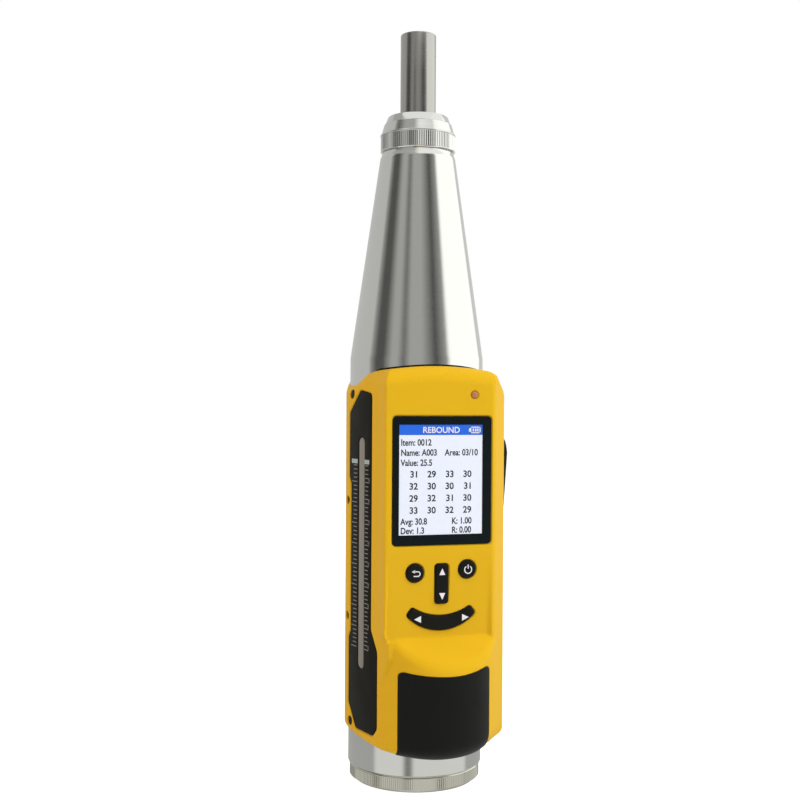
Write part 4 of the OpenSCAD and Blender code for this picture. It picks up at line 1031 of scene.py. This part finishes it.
class HAMMER_OT_cover(bpy.types.Operator):
    """Moulds the yellow cover's front and rear halves, with every opening in them"""
    bl_idname = "hammer.cover"
    bl_label = "Moulded cover"

    def execute(self, context):
        s = context.scene.hammer_sizes
        wall = s.wall / MM

        def outside(x, y, z):
            return cover_form(s, x, y, z)

        def room(x, y, z):
            backed = np.maximum(np.abs(x) - s.pad_width / MM / 2 - wall, z - s.pad_top / MM - wall)
            thick = grip_form(s, x, -y, z) + wall + 1.3
            return np.maximum(np.maximum(cover_form(s, x, y, z) + wall, np.minimum(-backed, thick)), 5.0 + y)

        points, faces = skin(outside, 300, 250)
        front = make("front_cover_moulded", points, faces, "cover", merge=False)
        rear = front.copy()
        rear.data = front.data.copy()
        rear.name = "rear_cover_moulded"
        context.scene.collection.objects.link(rear)
        hollow = make("room", *skin(room, 110, 100), "cover", merge=False)
        for half, stands_for, cutters in (
                (front, "front_cover", [box_of("behind", (-60, 1.94, 0), (60, 60, 260)), hollow]),
                (rear, "rear_cover", [box_of("ahead", (-60, -60, 0), (60, 2.08, 260))])):
            cutters.append(rod("bore", COVER_BORE, (0, 0, 0), (0, 0, 260), 160))
            carve(half, cutters + (self.openings(s) if half == front else []), sharp=28.0)
            fit(half, "body", "yellow_plastic", stands_for)
        # Adds a black strip of painted shade along the cover's upper edge
        self.gap_shade_strip(s)
        return {"FINISHED"}

    def gap_shade_strip(self, s):
        """A thin black strip on the metal above the cover's arched edge: painted shade, a dark sheet that stands for
        the shadow in the gap between cover and metal.
        """
        half, high, r = s.cover_half / MM, COVER_HIGH[2], TUBE_HIGH[0]
        turn = np.radians(np.linspace(-64, 64, 81))
        x = r * np.sin(turn)
        top = np.minimum(high - arch_of(s, x), high + half - 10.3 - np.abs(x)) + 0.45
        ring = [np.stack((d * np.sin(turn), -d * np.cos(turn), top + h), 1)
                for d, h in ((r, -1.5), (r + 0.4, -1.5), (r + 0.4, -0.15), (r + 0.25, 0), (r, 0))]
        # Painted shade: the black rubber finish of this strip stands in for the shadow in the gap above the cover's
        # edge
        fit(make("top_gap_shade_strip", *loft(np.stack(ring, 1)), "rubber"), "body", "black_rubber")

    def openings(self, s):
        cuts = []
        for line in (disc(BACK_KEY, KEY_R), disc(POWER_KEY, KEY_R), rocker_outline(), arc_outline()):
            level = s.front / MM - tray_depth(s, line[:, 1].mean())
            flare = [(-0.25, 20.0), (-0.25, level - 0.35), (-0.6, level), (-0.65, level + 2)]
            cuts.append(slab("key_hole", line, flare, on_front, "cover"))
        x, z = (GLASS_LOW + GLASS_HIGH)[::2] / 2
        light = (LIGHT_LOW + LIGHT_HIGH) / 2
        for name, line, levels, place in (
                ("glass_seat", glass_outline(), [(-0.1, 33.8), (-0.1, 34.4), (-0.7, 35.0), (-2, 36.3)], on_front),
                ("sight", rectangle(x - 17.95, z - 22.3, x + 17.95, z + 22.3), [(0, 20.0), (0, 34.2)], on_front),
                ("light_hole", disc((light[0] - LENS_SHIFT, light[2]), 1.55, 40),
                 [(0, 20.0), (0, 34.5), (-0.5, 35.0), (-1.5, 36.0)], on_front),
                ("panel_seat", panel_outline(), [(-0.12, -1.0), (-0.12, -0.6), (-0.75, 0.0), (-4, 3.2)], on_facet),
                ("slot", slot_outline(0), [(0, -20.0), (0, 1.0)], on_facet),
                ("lock_hole", lock_outline(0.4), [(0, 26.3), (0, 29.4), (-0.4, 29.95), (-3, 32.5)], on_right)):
            cuts.append(slab(name, line, levels, place, "cover"))
        for screw in SCREWS:
            cuts += [beside("screw_hole", SCREW_HOLE, screw, 20, 40), beside("screw_seat", 1.95, screw, 28.7, 40)]
        return [*cuts, make("pad_seat", *pad_sheet(s, 0.2, 4.0, -1.3, 0), "cover")]


class HAMMER_OT_pad(bpy.types.Operator):
    """Moulds the rubber palm pad over the bulge"""
    bl_idname = "hammer.pad"
    bl_label = "Palm pad"

    def execute(self, context):
        s = context.scene.hammer_sizes
        pad = make("palm_pad_moulded", *pad_sheet(s, 0.0, 0.3, -1.25, 0.7), "rubber", sharp=60.0)
        fit(pad, "body", "black_rubber", "palm_pad")
        return {"FINISHED"}


class HAMMER_OT_scale(bpy.types.Operator):
    """Builds the scale panel, its grey strip, its marks and numbers"""
    bl_idname = "hammer.scale"
    bl_label = "Scale side"

    def execute(self, context):
        s = context.scene.hammer_sizes
        panel = slab("scale_panel_moulded", panel_outline(), [(0, -1.0), (0, -0.3), (0.1, -0.1), (0.3, 0.0)], on_facet,
                     "panel")
        carve(panel, [slab("slot", slot_outline(0), [(0, -5.0), (0, -0.3), (-0.25, 0.0), (-2, 1.75)], on_facet)])
        fit(panel, "body", "black_plastic", "scale_panel")
        strip = slab("scale_strip", slot_outline(-0.08), [(0, -1.4), (0, -0.35), (0.15, -0.25), (0.4, -0.2)], on_facet,
                     "window")
        fit(strip, "body", "grey_window", "scale_window")
        tree = tick_tree()
        pitch = s.tick_pitch
        rows = []
        for name, count, gap, start, end in (("back_short", 45, 1, 6.4, 9.4), ("back_long", 9, 5, 5.0, 6.4),
                                             ("front_short", 45, 1, 16.0, 18.6), ("front_long", 9, 5, 18.6, 19.4)):
            a = (along(start) + along(end)) / 2
            at = on_facet(np.array(a), np.array(SCALE_Z), np.array(0.008)) * MM
            rows.append(grow(name, tree, Marks=count, Pitch=pitch * gap, Length=(end - start) / math.cos(FACET) * MM,
                             Width=0.38 * MM, Depth=0.03 * MM, Turn=FACET - math.pi / 2, Start=at.tolist(),
                             Finish=MATERIALS["tick"]))
        fit(join("scale_marks", *rows), "body", "black_plastic")
        marks = Marks(on_facet)
        for i in range(9):
            height = SCALE_Z + 5 * pitch / MM * i + 0.5
            marks.write(str(10 * (i + 1)), along(18.4), height, 1.9, "tick", 0.004, wide=0.75)
        for start, end in ((4.7, 9.6), (15.4, 19.3)):
            marks.bar(along(start), 132.4, along(end), 134.2, "mark", 0.004)
        fit(marks.build("scale_numbers"), "body", "black_plastic")
        return {"FINISHED"}


class HAMMER_OT_display(bpy.types.Operator):
    """Builds the display window, the lit display and what it shows, and the indicator light"""
    bl_idname = "hammer.display"
    bl_label = "Display"

    def execute(self, context):
        x, z = (GLASS_LOW + GLASS_HIGH)[::2] / 2 + (-0.65, 0.4)
        half_w, half_h = 17.45, 21.8
        face = -GLASS_LOW[1] - 0.2
        levels = [(0, -GLASS_HIGH[1]), (0, face - 0.3), (0.05, face - 0.06), (0.14, face)]
        window = slab("display_frame", glass_outline(), levels, on_front, "glass")
        sight = rectangle(x - half_w, z - half_h, x + half_w, z + half_h)
        carve(window, [slab("sight", sight, [(0, 20.0), (0, 40.0)], on_front)])
        fit(window, "body", "black_glass", "display_window")
        back, shown = -span("display_module")[1][1], face - 0.12
        cell = slab("display_cell", sight, [(0.02, back), (0.02, shown)], on_front, "screen")
        fit(cell, "body", "display_white", "display_module")
        fit(self.picture(x - half_w, z + half_h, 2 * half_w, shown), "body", "display_white")
        self.light()
        return {"FINISHED"}

    def picture(self, x, z, wide, h):
        """What the display shows: a title bar, three lines, a table of readings and two lines of results."""
        marks = Marks(on_front)
        marks.bar(x, z - 4.1, x + wide, z, "header", h + 0.002)
        marks.write("REBOUND", x + wide / 2, z - 3.2, 3.3, "marking", h + 0.016, 0.5, heavy=0.06)
        for a, b, c, d in ((29.6, 0.8, 30.1, 3.4), (33.6, 0.8, 34.1, 3.4), (29.6, 0.8, 34.1, 1.2),
                           (29.6, 3.0, 34.1, 3.4), (30.7, 1.5, 31.3, 2.7), (31.7, 1.5, 32.3, 2.7),
                           (32.6, 1.5, 33.2, 2.7), (29.1, 1.5, 29.6, 2.7)):
            marks.bar(x + a, z - d, x + c, z - b, "marking", h + 0.016)
        for text, across, down in (("Item: 0012", 0.7, 8.2), ("Name: A003", 0.7, 12.2), ("Area: 03/10", 19.0, 12.2),
                                   ("Value: 25.5", 0.7, 16.2), ("Avg: 30.8", 0.7, 39.4), ("K: 1.00", 22.0, 39.4),
                                   ("Dev: 1.3", 0.7, 43.0), ("R: 0.00", 22.0, 43.0)):
            marks.write(text, x + across, z - down, 3.5, "ink", h + 0.002, wide=0.84, heavy=0.08)
        for row, numbers in enumerate(((31, 29, 33, 30), (32, 30, 30, 31), (29, 32, 31, 30), (33, 30, 32, 29))):
            for column, number in enumerate(numbers):
                marks.write(str(number), x + 6.0 + 7.5 * column, z - 20.8 - 4.75 * row, 3.6, "ink", h + 0.002, 0.5,
                            heavy=0.08)
        return marks.build("display_picture")

    def light(self):
        mid = (LIGHT_LOW + LIGHT_HIGH) / 2
        r, back, tip = 1.5, -LIGHT_HIGH[1], -LIGHT_LOW[1]
        line = [(0, back), (r, back), (r, tip - 0.75)]
        line += [(r * math.cos(t), tip - 0.75 + 0.75 * math.sin(t)) for t in np.linspace(0.2, math.pi / 2, 9)]
        points, faces = lathe(line, 48)
        turned = np.stack((points[:, 0] + mid[0] - LENS_SHIFT, -points[:, 2], points[:, 1] + mid[2]), 1)
        fit(make("indicator_lens", turned, faces, "light"), "body", "copper_light", "indicator_light")


class HAMMER_OT_keys(bpy.types.Operator):
    """Moulds the four keys and prints their symbols"""
    bl_idname = "hammer.keys"
    bl_label = "Keys"

    def execute(self, context):
        s = context.scene.hammer_sizes
        for name, outline in (("back_key", disc(BACK_KEY, KEY_R)), ("power_key", disc(POWER_KEY, KEY_R)),
                              ("up_down_key", rocker_outline()), ("left_right_key", arc_outline())):
            low, high = span(name)
            back, top = -high[1], -low[1] - tray_depth(s, outline[:, 1].mean())
            flange = name in ("back_key", "power_key")
            foot = [(-0.8, back), (-0.8, back + 0.8), (0, back + 0.8)] if flange else [(0, back)]
            levels = foot + [(0, top - 0.7), (0.06, top - 0.42), (0.2, top - 0.2), (0.45, top - 0.06), (0.8, top)]
            key = slab(name + "_body", outline, levels, on_front, "rubber", sharp=40.0)
            symbols = getattr(self, name)(Marks(on_front), top + 0.002).build(name + "_symbols")
            fit(join(name + "_moulded", key, symbols), name, "black_rubber", name)
        return {"FINISHED"}

    def triangle(self, marks, x, z, turn, size, h):
        points = [(x + size * math.cos(turn + a), z + size * math.sin(turn + a)) for a in (0, 2.25, -2.25)]
        marks.shape(points, "marking", h)

    def arc(self, marks, x, z, r, start, end, thick, h):
        count = 25
        turn = np.radians(np.linspace(start, end, count))
        line = [(x + (r + side * thick / 2) * math.cos(t), z + (r + side * thick / 2) * math.sin(t))
                for side in (1, -1) for t in turn[::side]]
        marks.add(line, [(i, i + 1, 2 * count - 2 - i, 2 * count - 1 - i) for i in range(count - 1)], "marking", h)

    def back_key(self, marks, h):
        x, z = BACK_KEY
        self.arc(marks, x + 0.95, z - 0.25, 0.9, -90, 90, 0.42, h)
        marks.bar(x - 0.6, z + 0.44, x + 0.95, z + 0.86, "marking", h)
        marks.bar(x - 0.8, z - 1.36, x + 0.95, z - 0.94, "marking", h)
        self.triangle(marks, x - 0.75, z + 0.65, math.pi, 0.85, h)
        return marks

    def power_key(self, marks, h):
        x, z = POWER_KEY
        self.arc(marks, x + 0.1, z - 0.1, 1.5, 122, 418, 0.42, h)
        marks.bar(x - 0.11, z + 0.25, x + 0.31, z + 1.9, "marking", h)
        return marks

    def up_down_key(self, marks, h):
        x, z = ROCKER
        self.triangle(marks, x, z + 4.6, math.pi / 2, 1.65, h)
        self.triangle(marks, x, z - 4.6, -math.pi / 2, 1.65, h)
        return marks

    def left_right_key(self, marks, h):
        self.triangle(marks, -9.7, 71.9, math.pi, 1.75, h)
        self.triangle(marks, 9.7, 71.9, 0.0, 1.75, h)
        return marks


class HAMMER_OT_lock_button(bpy.types.Operator):
    """Moulds the domed lock button on the side"""
    bl_idname = "hammer.lock_button"
    bl_label = "Lock button"

    def execute(self, context):
        base, top = LOCK_LOW[0], LOCK_HIGH[0]
        outline = anticlockwise(lock_outline(0.0))
        rings = [on_right(*outline.T, np.full(len(outline), base))]
        for d in (0.0, 0.05, 0.25, 0.7, 1.5, 3.0, 4.5, 5.4):
            line = inset(outline, d)
            dome = top - (line[:, 0] - 13.0) ** 2 / 65 - (line[:, 1] - 130.5) ** 2 / 140
            drop = 0.6 - math.sqrt(max(0.0, 0.36 - max(0.0, 0.6 - d) ** 2)) if d < 0.6 else 0.0
            rings.append(on_right(*line.T, dome - drop))
        button = make("lock_button_moulded", *loft(rings), "panel", sharp=50.0)
        fit(button, "lock", "black_plastic", "lock_button")
        return {"FINISHED"}


class HAMMER_OT_screws(bpy.types.Operator):
    """Sets the cross slotted screws along both sides of the cover"""
    bl_idname = "hammer.screws"
    bl_label = "Cover screws"

    def execute(self, context):
        points = [(side * 28.9, y, z) for side, y, z in SCREWS]
        outward = [(side, 0, 0) for side, y, z in SCREWS]
        screws = grow("cover_screws_set", screw_tree(), points, outward, Head_Radius=1.85 * MM, Head_Height=0.8 * MM,
                      Slot_Width=0.42 * MM, Slot_Length=1.9 * MM, Finish=MATERIALS["screw"])
        shanks = [beside("shank", 1.2, screw, 25.5, 29.0, 20) for screw in SCREWS]
        for shank in shanks:
            shank.data.materials.append(MATERIALS["screw"])
        fit(join("cover_screws_dressed", screws, *shanks), "body", "black_screws", "cover_screws")
        return {"FINISHED"}


class HAMMER_OT_inside(bpy.types.Operator):
    """Winds the springs of round wire and gives every inner part its finish"""
    bl_idname = "hammer.inside"
    bl_label = "Inside"

    def execute(self, context):
        tree = coil_tree()
        for name, body, turns, wire in (
                ("impact_spring", "body", 14, 2.0), ("return_spring", "body", 8, 1.6),
                ("buffer_spring", "plunger_set", 7, 0.9), ("pawl_spring", "plunger_set", 4, 0.6),
                ("button_spring", "body", 3, 0.8)):
            low, high = span(name)
            across = name == "button_spring"
            mid = (low + high) / 2
            radius = ((high[1] - low[1]) if across else (high[0] - low[0])) / 2 - wire / 2
            start = (low[0] + wire / 2, mid[1], mid[2]) if across else (mid[0], mid[1], low[2] + wire / 2)
            rise = (high[0] - low[0] if across else high[2] - low[2]) - wire
            spring = grow(name + "_wound", tree, Turns=float(turns), Radius=radius * MM, Wire=wire / 2 * MM,
                          Height=rise * MM, Start=[c * MM for c in start],
                          Lean=(0.0, math.pi / 2 if across else 0.0, 0.0), Finish=MATERIALS["spring"])
            fit(spring, body, "spring_steel", name)
        low, high = span("felt_ring")
        section = rounded(rectangle(7.31, low[2], high[0], high[2]), 0.4)
        felt = make("felt_ring_pressed", *lathe(section, 96), "felt")
        fit(felt, "body", "felt", "felt_ring")
        for mat, names in (("machined", "split_ring guide_sleeve guide_rod guide_flange pawl pawl_pin hammer_mass "
                                        "trip_screw lock_nut rider_rod lock_bar board_screws"),
                           ("panel", "rider saddle battery_tray"), ("rubber", "keypad_mat"),
                           ("board", "main_board sensor_strip"), ("wrap", "battery_pack")):
            for name in names.split():
                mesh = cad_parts[name].data
                mesh.materials.clear()
                mesh.materials.append(MATERIALS[mat])
        return {"FINISHED"}


PIECES = (HAMMER_OT_stage, HAMMER_OT_metal_body, HAMMER_OT_cover, HAMMER_OT_pad, HAMMER_OT_scale, HAMMER_OT_display,
          HAMMER_OT_keys, HAMMER_OT_lock_button, HAMMER_OT_screws, HAMMER_OT_inside)


class HAMMER_PT_panel(bpy.types.Panel):
    """Lists the steps that build the hammer, with its sizes and colours"""
    bl_label = "Test Hammer"
    bl_idname = "HAMMER_PT_panel"
    bl_space_type = "VIEW_3D"
    bl_region_type = "UI"
    bl_category = "Test Hammer"

    def draw(self, context):
        for piece in PIECES:
            self.layout.operator(piece.bl_idname)
        for group in (context.scene.hammer_sizes, context.scene.hammer_colours):
            for name in group.__annotations__:
                self.layout.prop(group, name)


CLASSES = (HammerSizes, HammerColours, *PIECES, HAMMER_PT_panel)


def register():
    for each in CLASSES:
        bpy.utils.register_class(each)
    bpy.types.Scene.hammer_sizes = PointerProperty(type=HammerSizes)
    bpy.types.Scene.hammer_colours = PointerProperty(type=HammerColours)


def unregister():
    del bpy.types.Scene.hammer_sizes, bpy.types.Scene.hammer_colours
    for each in reversed(CLASSES):
        bpy.utils.unregister_class(each)


def main():
    register()
    hammer = bpy.ops.hammer
    for step in (hammer.stage, hammer.metal_body, hammer.cover, hammer.pad, hammer.scale, hammer.display, hammer.keys,
                 hammer.lock_button, hammer.screws, hammer.inside):
        step()


if __name__ == "__main__":
    main()
